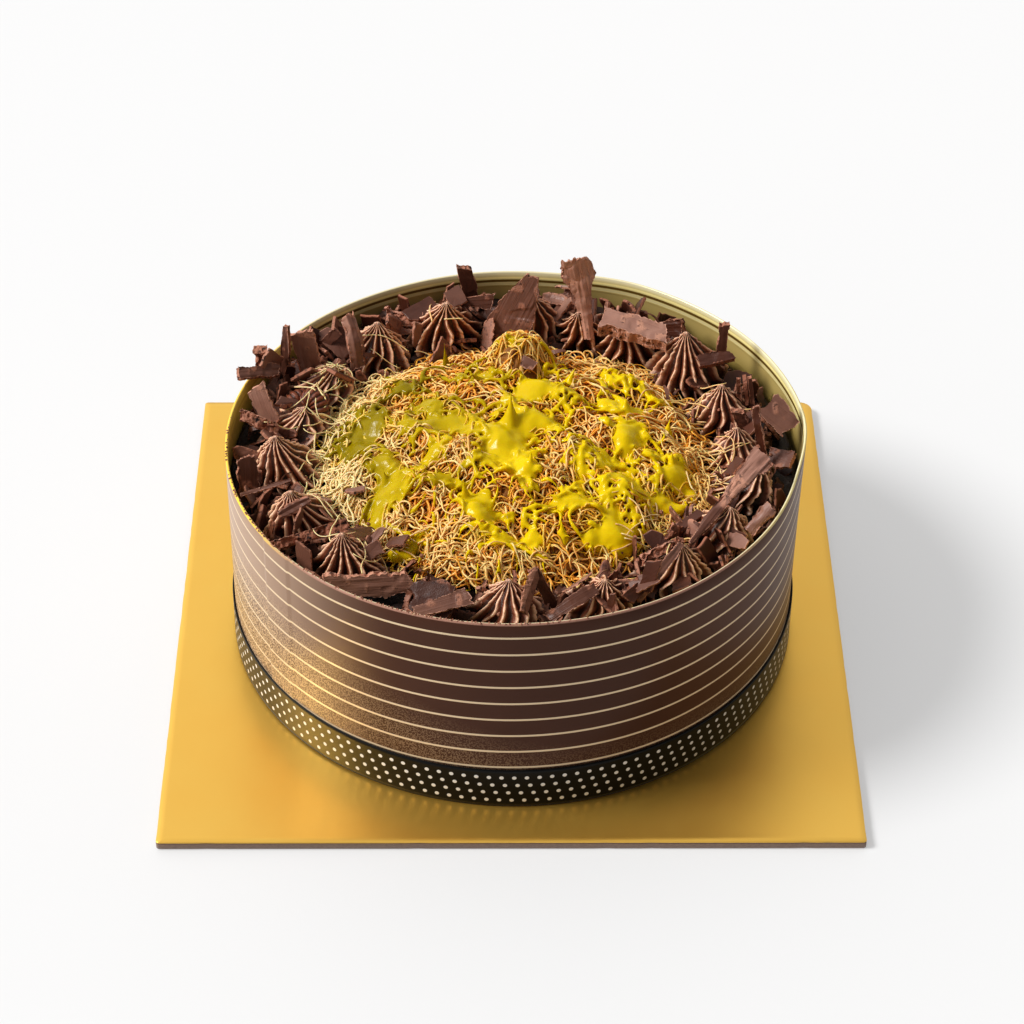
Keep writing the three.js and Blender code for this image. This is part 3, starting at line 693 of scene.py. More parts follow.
# Large shards that lie bare: middle in plan and reach
KEPT_CLEAR = [((-60, -77), 7), ((-50, -76), 7), ((-40, -75), 7), ((-28, -86), 8), ((97, 8), 6)]
# The one small plate on the kunafa: place in plan, lift over the heap's core, and length, width and thickness
LOOSE_CHIP_AT = (-56.3, -28)
LOOSE_CHIP_LIFT = 5.4
LOOSE_CHIP_SIZE = (8.5, 6, 1.4)


def tilted(random, normal, tilt):
    """A random turn whose third axis is near the given direction."""
    third = normal + tilt * random.normal(size=3)
    third /= np.linalg.norm(third)
    first = np.cross(third, random.normal(size=3))
    first /= np.linalg.norm(first)
    return np.stack([first, np.cross(third, first), third])


def splinter_body(random, length, width, thick):
    """A splinter of chocolate with ragged sides, grooved and a little bent along its length."""
    rows = max(5, int(length / 0.9))
    t = np.linspace(-1, 1, rows)[:, None]
    sides = len(SPLINTER_SECTION)
    edge = np.abs(SPLINTER_SECTION[:, 0]) > 0.9
    shape = (rows, sides)
    rough = np.where(edge, random.uniform(0.75, 1.12, shape), random.uniform(0.9, 1.05, shape))
    taper = 1 - random.uniform(0.3, 0.8) * np.abs(t) ** random.uniform(1.5, 4)
    skew = random.uniform(-0.6, 0.6)
    y = SPLINTER_SECTION[:, 0] * width / 2 * rough * taper
    z = SPLINTER_SECTION[:, 1] * thick / 2 * random.uniform(0.7, 1.15, sides)
    z = z * random.uniform(0.85, 1.1, shape)
    x = t * length / 2 + skew * y + random.uniform(-0.25, 0.25, shape)
    bow = random.normal(0, 0.03) * length
    cup = random.normal(0, 0.06)
    z = z + bow * t ** 2 + cup * y ** 2
    body = loft(np.stack(np.broadcast_arrays(x, y, z), -1))
    broken = np.broadcast_to(np.where(edge, 1.0, random.uniform(0, 0.4)), shape).copy()
    broken[[0, -1]] = 1
    return body, np.append(broken.ravel(), (1, 1))


def chip_body(random, length, width, thick):
    """A flat piece snapped off a plate: straight rough sides, some corners gone, a little bent."""
    half = np.array([length, width]) / 2
    corners = [half * sign * random.uniform(0.75, 1.1, 2) for sign in SQUARE[1:] + SQUARE[:1]]
    if random.uniform() < 0.5:
        corners[1:2] = [corners[1] * (1, 0.3), corners[1] * (0.5, 1)]
    outline = []
    for start, end in zip(corners, corners[1:] + corners[:1]):
        steps = max(2, int(np.linalg.norm(end - start) / 1.3))
        share = np.linspace(0, 1, steps, endpoint=False)[:, None]
        outline.append(start + (end - start) * share + random.uniform(-0.3, 0.3, (steps, 2)))
    outline = np.concatenate(outline)
    rings = []
    for inset, height in CHIP_RINGS:
        level = height * thick + random.uniform(-0.06, 0.06, len(outline))
        rings.append(np.column_stack([outline * inset, level]))
    points, faces = loft(np.array(rings))
    bow, cup = random.normal(0, 0.02), random.normal(0, 0.03)
    points[:, 2] += bow * points[:, 0] ** 2 / 2 + cup * points[:, 1] ** 2
    broken = np.zeros(len(points))
    broken[len(outline):3 * len(outline)] = 1
    return (points, faces), broken


def curl_body(random, half):
    """A thin shaving that curls round along its length."""
    turn = random.uniform(1.6, 4.4)
    radius = half / turn * 1.6
    width = random.uniform(0.8, 2.2)
    thick = random.uniform(0.35, 0.6)
    angle = np.linspace(0, turn, CURL_STEPS)
    drift = random.uniform(0.2, 1.2)
    rings = []
    for i, a in enumerate(angle):
        taper = 0.35 + 0.65 * math.sin(math.pi * (i + 0.5) / CURL_STEPS)
        out = np.array([math.cos(a), 0, math.sin(a)])
        middle = radius * out + np.array([0, drift * a, 0])
        side = np.array([0, width * taper / 2, 0])
        depth = out * thick / 2
        rings.append([middle + u * side + v * depth for u, v in SQUARE])
    return loft(np.array(rings)[:, ::-1]), random.uniform(0, 0.5), random.uniform(0, 0.5)


def crumb_body(random, size):
    """A rough crumb: a cube whose corners are pushed about, with blunt faces."""
    count = len(CRUMB_SECTION)
    rings = [np.column_stack([CRUMB_SECTION * width, np.full(count, z)]) for width, z in CRUMB_RINGS]
    uneven = random.uniform(0.6, 1.2, (len(rings), count, 3))
    return loft(np.stack(rings) * size * uneven), random.uniform(0.4, 1), random.uniform(0, 0.6)


def pile_place(random):
    """A place in plan in one of the piles of larger chips."""
    (x, y), spread = CHIP_PILES[random.integers(len(CHIP_PILES))]
    return x + spread * random.normal(0, 0.6), y + spread * random.normal(0, 0.6)


def rubble_place(random):
    """A place in plan in the ring of toppings, more often where chips lie thick."""
    while True:
        radius = math.sqrt(random.uniform(RUBBLE_INNER ** 2, RUBBLE_OUTER ** 2))
        angle = random.uniform(0, 2 * math.pi)
        x, y = radius * math.cos(angle), radius * math.sin(angle)
        thick = 0.35 + 0.65 * smooth(0.5 + plan_noise(x, y, 14.0, 31))
        on_heap = heap_reach(x, y) < 0.98 and random.uniform() > 0.02
        if random.uniform() < thick and not on_heap:
            return x, y


def scatter(name, count, seed, tree, material, body_at, tilt, clear, place_at=rubble_place, highest=15):
    """One joined mesh of small things that lie where they land.

    They keep out of the heap up to a share of its reach, and those that land too high are left out.
    """
    random = np.random.default_rng(seed)
    pile = Pile()
    while len(pile.points) < count:
        x, y = place_at(random)
        covered = any(math.hypot(x - at[0], y - at[1]) < reach for at, reach in KEPT_CLEAR)
        if covered or math.hypot(x, y) > RUBBLE_OUTER:
            continue
        hit, normal = landing(tree, x, y)
        steep = normal[2] < 0.25
        high = hit[2] > STAND + random.triangular(0, 1.5, highest)
        if steep or high:
            continue
        (points, faces), broken, pale = body_at(random)
        turned = points @ tilted(random, normal, tilt)
        reach = turned[:, 2].min()
        settled = turned + hit - (0, 0, reach * random.uniform(0.2, 1))
        radius = np.hypot(settled[:, 0], settled[:, 1]).max()
        on_heap = heap_reach(settled[:, 0], settled[:, 1]).min() < clear
        if on_heap or radius > INNER_RADIUS:
            continue
        pile.add((settled, faces), broken=broken, pale=pale)
    add_piece(name, pile.joined(), material, values=pile.values(), crease=0)


def splinter(random):
    length = random.triangular(3, 6, 18)
    width = length * random.uniform(0.2, 0.65)
    body_at = chip_body if random.uniform() < 0.55 else splinter_body
    body, broken = body_at(random, length, min(width, 7), random.uniform(0.9, 1.9))
    return body, broken, random.uniform(-0.25, 0.55)


def chip(random):
    length = random.uniform(7, 16)
    width = random.uniform(4, 9)
    body, broken = chip_body(random, length, min(width, 0.8 * length), random.uniform(0.9, 1.7))
    return body, broken, random.uniform(-0.3, 0.7)


def make_rubble(tree, material):
    scatter("chocolate_chips", CHIP_COUNT, 4, tree, material, chip, 1.1, 1.02, pile_place, 18)
    scatter("chocolate_splinters", SPLINTER_COUNT, 1, tree, material, splinter, 0.75, 0.98)
    scatter("chocolate_curls", CURL_COUNT, 2, tree, material,
            lambda r: curl_body(r, r.uniform(3, 9)), 0.8, 0.98)
    scatter("chocolate_crumbs", CRUMB_COUNT, 3, tree, material,
            lambda r: crumb_body(r, r.triangular(0.3, 0.45, 1.0)), 1.0, 0.9)


def make_loose_chip(tree, material):
    random = np.random.default_rng(29)
    (points, faces), broken = chip_body(random, *LOOSE_CHIP_SIZE)
    hit, normal = landing(tree, *LOOSE_CHIP_AT)
    settled = points @ tilted(random, normal, 0.1) + hit + (0, 0, LOOSE_CHIP_LIFT)
    values = {"broken": broken, "pale": np.full(len(points), 0.4)}
    add_piece("chip_on_kunafa", (settled, faces), material, values=values, crease=0)


def make_rim_crumbs(material):
    """Crumbs that stick to the collar's rim, on its left and front."""
    random = np.random.default_rng(9)
    pile = Pile()
    for _ in range(RIM_CRUMBS):
        angle = math.radians(random.triangular(*RIM_CRUMB_SIDES))
        radius = COLLAR_RADIUS - random.uniform(0.2, 0.9)
        x, y = radius * math.cos(angle), radius * math.sin(angle)
        (points, faces), broken, _ = crumb_body(random, random.uniform(0.2, 0.5))
        pile.add((points + (x, y, rim_height(x, y)), faces), broken=broken, pale=0.5 * broken)
    add_piece("rim_crumbs", pile.joined(), material, values=pile.values(), crease=0)


# Kunafa strands
STRAND_STEP = 1.2
STRAND_RADIUS = 0.36
STRAND_SIDES = 4
# Each kind: name, count, height over the mound, share that lies in nests
STRAND_KINDS = (
    ("kunafa_toasted", 1150, -1.2, 0.0),
    ("kunafa_golden", 1420, 0.1, 0.1),
    ("kunafa_pale", 1450, 0.9, 0.5),
)
# How far past the heap's edge a strand strays, as a share of its reach
STRAND_SPILL = 1.14
# The chip on the tuft: its ends in plan, how wide the strands dip under it and how deep
TUFT_CHIP = ((-3, 35), (8.5, 30))
TUFT_CHIP_REACH = 4.2
TUFT_CHIP_DIP = 3.2
# Sides of the heap in degrees where loose strands lie over the toppings, with the spread of each
SPILLS = [
    (150, 20), (155, 16), (165, 12), (120, 20), (200, 22),
    (235, 18), (20, 14), (-10, 12), (-40, 14), (75, 14),
]
SPILL_COUNT = 250
SPILL_DROP = 6
# Places where pale strands lie curled up, with the spread of each
NESTS = [
    ((18, -19), 7), ((-16, -12), 5), ((64, -6), 6), ((2, -64), 7), ((-40, -44), 8),
    ((-59, -21), 7), ((-34, -24), 6), ((-25, -57), 8), ((67, -22), 5), ((30, 52), 9),
    ((-37, -5), 4), ((-66, 17), 5), ((-67, -8), 5), ((48, 45), 8), ((30, -68), 8),
    ((50, -31), 5), ((-5, 40), 6), ((-45, 40), 7), ((-12, -63), 6), ((55, -50), 6),
]
# The heap's core: its grid, how far it lies under the mound and its relief
CORE_RINGS = 60
CORE_SPOKES = 240
CORE_DEPTH = 2.4
CORE_RELIEF = 1.1


def strand_path(random, start, base, steps, curl):
    """A curly strand over the mound, as points."""
    x, y = start
    heading = 1.4 * math.pi * float(plan_noise(x, y, 24.0, 41)) + random.normal(0, 0.55)
    heading += math.pi * random.integers(0, 2)
    turning = random.choice((-1, 1)) * curl * random.uniform(0.4, 1.3)
    arch = random.uniform(0.2, 1.7)
    waves = random.uniform(0.4, 1.6)
    phase = random.uniform(0, 2 * math.pi)
    path = []
    for i in range(steps):
        t = i / (steps - 1)
        lift = arch * math.sin(2 * math.pi * waves * t + phase)
        tucked = 1.6 * (2 * t - 1) ** 8
        path.append((x, y, base + lift - tucked))
        turning += random.normal(0, 0.09)
        heading += turning + random.normal(0, 0.16)
        if math.hypot(x, y) > STRAND_SPILL * heap_edge(math.atan2(y, x)):
            homeward = math.atan2(-y, -x)
            heading += 0.5 * math.sin(homeward - heading)
        x += STRAND_STEP * math.cos(heading)
        y += STRAND_STEP * math.sin(heading)
    path = np.array(path)
    fall = 3.2 * smooth((heap_reach(path[:, 0], path[:, 1]) - 0.95) * 5)
    path[:, 2] += mound_height(path[:, 0], path[:, 1]) - fall
    return path


def strand_start(random, far):
    radius = far * HEAP_RADIUS * math.sqrt(random.uniform())
    angle = random.uniform(0, 2 * math.pi)
    return radius * math.cos(angle), radius * math.sin(angle)


def nest_start(random):
    (x, y), spread = NESTS[random.integers(len(NESTS))]
    return x + spread * random.normal(0, 0.5), y + spread * random.normal(0, 0.5)


def near_tuft_chip(x, y):
    """1 under the chip on the tuft, fading to 0 beside it."""
    start, end = (np.array(at) for at in TUFT_CHIP)
    run = end - start
    offset = np.stack([x, y], axis=-1) - start
    along = np.clip(offset @ run / (run @ run), 0, 1)
    away = np.linalg.norm(offset - along[..., None] * run, axis=-1)
    return smooth(1.6 - away / TUFT_CHIP_REACH)


def make_strands(materials):
    random = np.random.default_rng(7)
    for name, count, base, nested in STRAND_KINDS:
        pile = Pile()
        for _ in range(count):
            in_nest = random.uniform() < nested
            start = nest_start(random) if in_nest else strand_start(random, 1.04)
            steps = random.integers(8, 16) if in_nest else random.integers(8, 23)
            height = base + random.uniform(-0.9, 0.9) + (0.8 if in_nest else 0)
            path = strand_path(random, start, height, steps, 0.08 if in_nest else 0.05)
            depth = cream_depth(path[:, 0], path[:, 1])
            chip_dip = TUFT_CHIP_DIP * near_tuft_chip(path[:, 0], path[:, 1])
            path[:, 2] -= 1.2 * smooth(depth / 1.5) + chip_dip
            uneven = 1 + 0.15 * np.sin(np.arange(steps) * 0.9)
            size = STRAND_RADIUS * random.uniform(0.75, 1.25) * uneven
            body = tube(path, size, STRAND_SIDES)
            near = cream_depth(body[0][:, 0], body[0][:, 1])
            clean = 0.2 if in_nest else 0
            coat = smooth(0.75 + 0.45 * near - clean + 0.5 * noise(body[0], 4.0, 45))
            pile.add(body, tone=random.uniform(), coat=coat)
        add_piece(name, pile.joined(), materials[name], values=pile.values())


def spilled_strand(random, tree):
    """A loose strand that has slid off the heap and lies over the toppings beside it."""
    side, spread = SPILLS[random.integers(len(SPILLS))]
    angle = math.radians(side + spread * random.normal(0, 0.5))
    radius = float(heap_edge(angle)) + random.triangular(-5, 2, 17)
    steps = random.integers(7, 17)
    heading = random.uniform(0, 2 * math.pi)
    turning = random.normal(0, 0.1)
    x, y = radius * math.cos(angle), radius * math.sin(angle)
    path = []
    for _ in range(steps):
        path.append((x, y, landing(tree, x, y)[0][2]))
        heading += turning + random.normal(0, 0.12)
        x += STRAND_STEP * math.cos(heading)
        y += STRAND_STEP * math.sin(heading)
    path = np.array(path)
    height = path[:, 2]
    for settle in (np.max, np.mean, np.mean, np.mean):
        padded = np.pad(height, 2, mode="edge")
        height = settle([padded[k:k + steps] for k in range(5)], axis=0)
    path[:, 2] = height + random.uniform(0.2, 0.8)
    return path


def make_spill(tree, material):
    random = np.random.default_rng(17)
    pile = Pile()
    while len(pile.points) < SPILL_COUNT:
        path = spilled_strand(random, tree)
        strays = np.hypot(path[:, 0], path[:, 1]).max() > RUBBLE_OUTER
        if strays or np.ptp(path[:, 2]) > SPILL_DROP:
            continue
        radii = np.full(len(path), STRAND_RADIUS * random.uniform(0.6, 1.0))
        tone = random.uniform()
        pile.add(tube(path, radii, STRAND_SIDES), tone=tone, coat=0.15 * tone)
    add_piece("kunafa_spilled", pile.joined(), material, values=pile.values())


def make_heap_core(material):
    """The dense kunafa under the loose strands."""
    reach = np.linspace(1.0, 0.01, CORE_RINGS)[:, None] ** 0.85
    angle = around(CORE_SPOKES)
    x, y = on_circle(reach * heap_edge(angle), angle)
    relief = plan_noise(x, y, 2.2, 5) + 0.6 * plan_noise(x, y, 4.5, 6)
    z = mound_height(x, y) - CORE_DEPTH + CORE_RELIEF * relief
    foot = np.stack([x[0] * 0.99, y[0] * 0.99, np.full(CORE_SPOKES, STAND)], -1)[None]
    body = loft(np.concatenate([foot, np.stack([x, y, z], -1)]))
    return add_piece("kunafa_core", body, material, ["kunafa"])


# Pistachio cream
# Cell of the skin round the cream, and of the grid in plan that its pools start from
CREAM_VOXEL = 0.5
CREAM_CELL = 0.6
CREAM_SMOOTHING = 8
CREAM_THREADS = 560
THREAD_SIDES = 7
PEAK_STEPS = 16


def slab(x, y, low, high, inside):
    """A closed body over the cells of a plan grid whose corners are all inside."""
    rows, columns = inside.shape
    index = np.arange(rows * columns).reshape(rows, columns)
    cell = inside[:-1, :-1] & inside[1:, :-1] & inside[1:, 1:] & inside[:-1, 1:]
    corners = (index[:-1, :-1], index[1:, :-1], index[1:, 1:], index[:-1, 1:])
    top = np.stack([c[cell] for c in corners], -1)
    shift = rows * columns
    walls = []
    padded = np.pad(cell, 1)
    neighbours = (padded[1:-1, :-2], padded[2:, 1:-1], padded[1:-1, 2:], padded[:-2, 1:-1])
    for k, neighbour in enumerate(neighbours):
        bare = cell & ~neighbour
        a, b = corners[k][bare], corners[(k + 1) % 4][bare]
        walls.append(np.stack([a + shift, b + shift, b, a], -1))
    quads = np.concatenate([top, top[:, ::-1] + shift, *walls])
    points = np.concatenate([np.stack([x, y, z], -1).reshape(-1, 3) for z in (high, low)])
    faces = np.concatenate([quads[:, :3], quads[:, (0, 2, 3)]])
    used, compact = np.unique(faces, return_inverse=True)
    return points[used], compact.reshape(-1, 3)


def pool_layer():
    """The pools of cream over the mound, with steep rounded edges and lacy outlines."""
    line = np.arange(-HEAP_RADIUS - 4, HEAP_RADIUS + 4, CREAM_CELL)
    x, y = np.meshgrid(line, line, indexing="ij")
    depth = cream_depth(x, y)
    top = 1.15 * np.sqrt(np.maximum(0, depth)) + 0.35 * np.maximum(0, depth)
    ripple = 0.35 * plan_noise(x, y, 6.5, 56) + 0.06 * plan_noise(x, y, 2.6, 57)
    mound = mound_height(x, y)
    return slab(x, y, mound - 1.6, mound + 0.3 + top + ripple, depth > 0)


def peak_body(at, lean, rise, foot, seed):
    """A pulled peak of cream that leans from its foot in the mound."""
    base = float(mound_height(at[0], at[1])) + 1
    t = np.linspace(0, 1, PEAK_STEPS)[:, None]
    turn = around(PEAK_STEPS)
    width = foot * (1.15 * (1 - t) ** 1.9 + 0.1)
    fold = 1 + 0.16 * np.sin(3 * turn + seed) * (1 - t)
    x = at[0] + lean[0] * t ** 2 + width * fold * np.cos(turn)
    y = at[1] + lean[1] * t ** 2 + width * fold * np.sin(turn)
    z = np.broadcast_to(base - 3 + (rise + 2) * t, x.shape)
    return loft(np.stack([x, y, z], -1))


def cream_thread(random):
    """A strand thickly coated in cream, from the edge of a pool outwards."""
    while True:
        x, y = strand_start(random, 0.98)
        if -1.1 < cream_depth(x, y) < 1.2:
            break
    steps = random.integers(5, 17)
    path = strand_path(random, (x, y), 1.9, steps, 0.1)
    path[:, 2] -= 0.6 * np.clip(cream_depth(path[:, 0], path[:, 1]), 0, 2)
    path[:, 2] -= 2 * TUFT_CHIP_DIP * near_tuft_chip(path[:, 0], path[:, 1])
    size = random.uniform(0.42, 1.0) * (1 + 0.3 * np.sin(np.arange(steps) * 0.8 + random.uniform(0, 6)))
    return tube(path, size * (1 - 0.4 * np.linspace(0, 1, steps) ** 2), THREAD_SIDES)


def make_cream(material):
    random = np.random.default_rng(23)
    pile = Pile()
    pile.add(pool_layer())
    for seed, peak in enumerate(CREAM_PEAKS):
        pile.add(peak_body(*peak, seed))
    for _ in range(CREAM_THREADS):
        pile.add(cream_thread(random))
    points, faces, normals = fused(pile.joined(), CREAM_VOXEL, CREAM_SMOOTHING)
    relief = 0.05 * noise(points, 2.0, 61) + 0.2 * noise(points, 6.0, 62)
    points = points + normals * relief[:, None]
    return add_piece("pistachio_cream", (points, faces), material)


# Cake, collar, ribbon and board
INNER_RADIUS = COLLAR_RADIUS - COLLAR_THICKNESS - GAP
CREAM_RINGS = 90
BAND_ROWS = 14
# Where the collar's end laps over its start, in degrees, and how far it stands proud
LAP_FROM = 213
LAP_TO = 221
LAP_PROUD = 0.35
RIBBON_INSIDE = COLLAR_RADIUS + GAP
RIBBON_OUTSIDE = RIBBON_INSIDE + RIBBON_THICKNESS - 0.15
# The board's edge from the underside up: how far it is drawn in, and height
BOARD_EDGE = (
    (0.25, 0), (0, 0.3), (0, 2.6), (0.12, 2.75), (0.12, 2.85), (0, 3.0), (0, 3.25), (0.15, BOARD_THICKNESS),
)


def rim_height(x, y):
    return RIM_HEIGHT + RIM_LEAN[0] * x + RIM_LEAN[1] * y


def make_cake_body(material):
    """The cake's cream, rough on top; its finish deepens its own dark brown to near black as painted shade.
    """
    radius = np.concatenate([np.full(2, INNER_RADIUS), np.linspace(103, 1, CREAM_RINGS)])[:, None]
    x, y = on_circle(radius, around(ALL_ROUND))
    relief = np.minimum(0, 1.4 * plan_noise(x, y, 4.0, 71) + 0.8 * plan_noise(x, y, 1.8, 72) - 0.4)
    z = CREAM_TOP + relief
    z[0] = COLLAR_FOOT
    z[1] = CREAM_TOP - 2
    return add_piece("cake_cream", loft(np.stack([x, y, z], -1)), material, ["cake_body"])


def unwrap(piece, round_mm, below_mm, period):
    """Texture places in metres: the way round, and a second length such as the drop from the rim."""
    mesh = piece.data
    corner = np.empty(len(mesh.loops), dtype=np.int32)
    mesh.loops.foreach_get("vertex_index", corner)
    u = round_mm[corner].reshape(-1, 3)
    torn = u.max(1) - u.min(1) > period / 2
    u[torn] = np.where(u[torn] < period / 2, u[torn] + period, u[torn])
    places = np.stack([u.ravel(), below_mm[corner]], -1) * MM
    mesh.uv_layers.new(name="unrolled").data.foreach_set("uv", np.ascontiguousarray(places).ravel())


def band(outer, inner, foot, top_at, swell):
    """A closed ring as profile rows round the cake, with the drop of each point from its top edge."""
    angle = around(ALL_ROUND * 2)
    top = top_at(*on_circle(outer, angle))
    share = np.linspace(0, 1, BAND_ROWS)
    lip = (outer - inner) * 0.3
    radii = [np.full(BAND_ROWS, outer), [outer - lip, inner + lip], np.full(BAND_ROWS, inner)]
    heights = [share * 0.996, [1, 1], share[::-1] * 0.996]
    radius = np.concatenate(radii)[:, None] + swell(angle, np.concatenate(heights)[:, None])
    z = foot + (top - foot) * np.concatenate(heights)[:, None]
    points = np.stack([*on_circle(radius, angle), z], -1)
    rows, columns, _ = points.shape
    faces = grid_faces(rows, columns, True)
    closing = grid_faces(2, columns, True)
    closing = np.where(closing < columns, closing + (rows - 1) * columns, closing - columns)
    body = points.reshape(-1, 3), np.concatenate([faces, closing])
    below = (top - z).ravel()
    way = np.broadcast_to(angle * outer, z.shape).ravel()
    return body, way, below


def rim_flare(degrees):
    """How far the rim flares outwards at each direction from 0 to 360 degrees."""
    out, middle, spread, fade = RIM_FLARE
    away = np.abs((degrees - middle + ALL_ROUND / 2) % ALL_ROUND - ALL_ROUND / 2)
    return out * smooth((spread - away) / fade)


def make_collar(material):
    waist = (COLLAR_WAIST - COLLAR_FOOT) / (RIM_HEIGHT - COLLAR_FOOT)

    def swell(angle, height):
        degrees = np.degrees(angle)
        lap = smooth((degrees - LAP_FROM) / 0.5) * (1 - smooth((degrees - LAP_TO) / 0.5))
        wave = 0.12 * np.sin(5 * angle) + 0.08 * np.sin(11 * angle + 1)
        flare = rim_flare(degrees) * np.maximum(0, height - waist) / (1 - waist)
        return LAP_PROUD * lap + wave * height + flare

    body, way, below = band(COLLAR_RADIUS, COLLAR_RADIUS - COLLAR_THICKNESS, COLLAR_FOOT, rim_height, swell)
    count = len(body[0])
    inside = (np.arange(count) >= count / 2).astype(float)
    piece = add_piece("lined_collar", body, material, ["collar"], {"inside": inside})
    unwrap(piece, way, below, 2 * math.pi * COLLAR_RADIUS)


def make_ribbon(material):
    top = COLLAR_FOOT + RIBBON_WIDTH

    def swell(angle, height):
        return 0.12 * np.sin(7 * angle + 2) * (height - 0.5)

    body, way, below = band(RIBBON_OUTSIDE, RIBBON_INSIDE, COLLAR_FOOT, lambda x, y: top + 0 * x, swell)
    piece = add_piece("dotted_band", body, material, ["ribbon"])
    unwrap(piece, way, below, 2 * math.pi * RIBBON_OUTSIDE)


def board_outline(inset):
    """Points round the board's edge, drawn in by an inset, from the cake's centre."""
    half = BOARD_SIDE / 2 - inset
    corners = (
        (half, -half, -90, BOARD_CORNER), (half, half, 0, BOARD_WORN_CORNER),
        (-half, half, 90, BOARD_CORNER), (-half, -half, 180, BOARD_CORNER),
    )
    points = []
    for (x, y, start, radius), following in zip(corners, corners[1:] + corners[:1]):
        arc = np.radians(start + np.linspace(0, 90, 7))
        middle = (x - math.copysign(radius, x), y - math.copysign(radius, y))
        arc_points = np.stack([middle[0] + radius * np.cos(arc), middle[1] + radius * np.sin(arc)], -1)
        step = np.linspace(0, 1, 60, endpoint=False)[1:, None]
        turn = math.radians(following[2])
        reach = following[3]
        end = np.array([
            following[0] - math.copysign(reach, following[0]) + reach * math.cos(turn),
            following[1] - math.copysign(reach, following[1]) + reach * math.sin(turn),
        ])
        points.extend([arc_points, arc_points[-1] + (end - arc_points[-1]) * step])
    return np.concatenate(points) - CAKE_CENTRE[:2]


def make_board(material):
    rings = []
    for inset, z in BOARD_EDGE:
        outline = board_outline(inset)
        nick = 0.25 * smooth(plan_noise(outline[:, 0], outline[:, 1], 2.0, 81) * 2 - 0.6)
        rings.append(np.column_stack([outline * (1 - nick / BOARD_SIDE)[:, None], np.full(len(outline), z)]))
    rim = board_outline(BOARD_EDGE[-1][0])
    for share in np.linspace(0.98, 0.02, 40):
        ring = rim * share
        wave = 0.06 * plan_noise(ring[:, 0], ring[:, 1], 22.0, 82) - 0.06
        rings.append(np.column_stack([ring, BOARD_THICKNESS + wave]))
    add_piece("gold_card", loft(np.stack(rings)), material, ["board"])


# Finishes
def piped_finish():
    s = Surface("piped_chocolate_cream", roughness=0.42, subsurface_weight=0.08, subsurface_scale=0.002)
    crest = s.value("crest")
    tone = s.mix(s.noise(3.0), "6C3622", "8C5034")
    # Painted shade in the grooves and a painted highlight on the ridge tops, from how near each point is to a
    # crest.
    tone = s.mix(s.step(crest, 0.0, 0.34), "281006", tone)
    tone = s.mix(s.step(crest, 0.4, 0.85), tone, "FACAA8")
    # Painted shade darkens the rosettes low in the gaps over the cake's cream.
    s.link(s.mix(s.out_of_painted_gap_shade(), "180A06", tone), "Base Color")
    s.bump(s.noise(0.7, 4), 0.25)
    return s.material


def chocolate_finish():
    s = Surface("broken_chocolate", specular_ior_level=0.4)
    broken = s.value("broken")
    pale = s.value("pale")
    cloud = s.noise(6.0)
    face = s.mix(pale, s.mix(cloud, "381A12", "643826"), s.mix(cloud, "A07262", "CA9C88"))
    face = s.mix(s.step(pale, 0.0, -0.5), face, "2A120C")
    crumbly = s.mix(pale, "A46C54", "D8A288")
    crumbly = s.mix(s.step(s.noise(1.7, 6), 0.3, 0.5), "200E09", crumbly)
    tone = s.mix(broken, face, crumbly)
    grain = s.noise(0.5, 2, s.add("ShaderNodeCombineXYZ", None, {"X": s.value("grain")}).outputs[0])
    streak = s.times(s.step(grain, 0.42, 0.3), 0.4)
    tone = s.mix(streak, tone, "2E1A14")
    # Painted highlight along the rims of the shards' faces.
    tone = s.mix(s.times(s.value("edge"), 0.75), tone, "E0AC94")
    # Painted shade darkens the chocolate low in the gaps over the cake's cream.
    s.link(s.mix(s.out_of_painted_gap_shade(), "140805", tone), "Base Color")
    s.link(s.scaled(broken, 0.3, 0.38), "Roughness")
    fine = s.times(s.noise(0.5, 5), s.scaled(broken, 0.9, 0.2))
    s.bump(s.scaled(grain, 0.6, fine), 0.35)
    return s.material


def strand_finish(name, low, high):
    s = Surface(name, roughness=0.38, subsurface_weight=0.2, subsurface_scale=0.002)
    drift = s.plus(s.times(s.value("tone"), 0.6), s.times(s.noise(6.0), 0.5))
    dry = s.mix(s.minus(drift, 0.05, clamp=True), low, high)
    # Painted light: the strands turn paler towards the left.
    dry = s.mix(s.times(s.step(s.split_place(0), -34.0, -60.0), 0.7), dry, "FBE6B0")
    s.link(s.mix(s.times(s.value("coat"), 0.85), dry, "E6B814"), "Base Color")
    s.bump(s.noise(0.6, 2), 0.12)
    return s.material


def core_finish():
    s = Surface("kunafa_depths", roughness=0.6)
    s.link(s.mix(s.noise(2.5), "542808", "B4761C"), "Base Color")
    s.bump(s.noise(0.8, 4), 0.5)
    return s.material


def cream_finish():
    s = Surface(
        "pistachio_cream", roughness=0.2, subsurface_weight=0.25, subsurface_scale=0.002,
        specular_ior_level=0.18,
    )
    s.shader.inputs["Subsurface Radius"].default_value = (1.0, 0.7, 0.1)
    # Painted shade and light: darker olive towards the left and back, brighter yellow towards the right and
    # front, varied by a random cloud.
    across = s.scaled(s.split_place(1), -0.5, s.split_place(0))
    cloud = s.scaled(s.step(s.noise(24.0, 2), 0.3, 0.7), 0.26, -0.13)
    painted_light_and_cloud = s.plus(s.step(across, -75.0, 40.0), cloud, clamp=True)
    s.link(s.mix(painted_light_and_cloud, "8A7804", "E8C80C"), "Base Color")
    s.bump(s.noise(1.6, 3), 0.1)
    return s.material


def cream_in_painted_shade_finish():
    s = Surface("cocoa_cream", roughness=0.55)
    # Painted shade: the cream's own dark brown is deepened to near black, as it shows only in the gaps
    # between the toppings.
    s.link(s.mix(s.noise(2.0), "0E0604", "2A1710"), "Base Color")
    s.bump(s.noise(1.0, 4), 0.5)
    return s.material


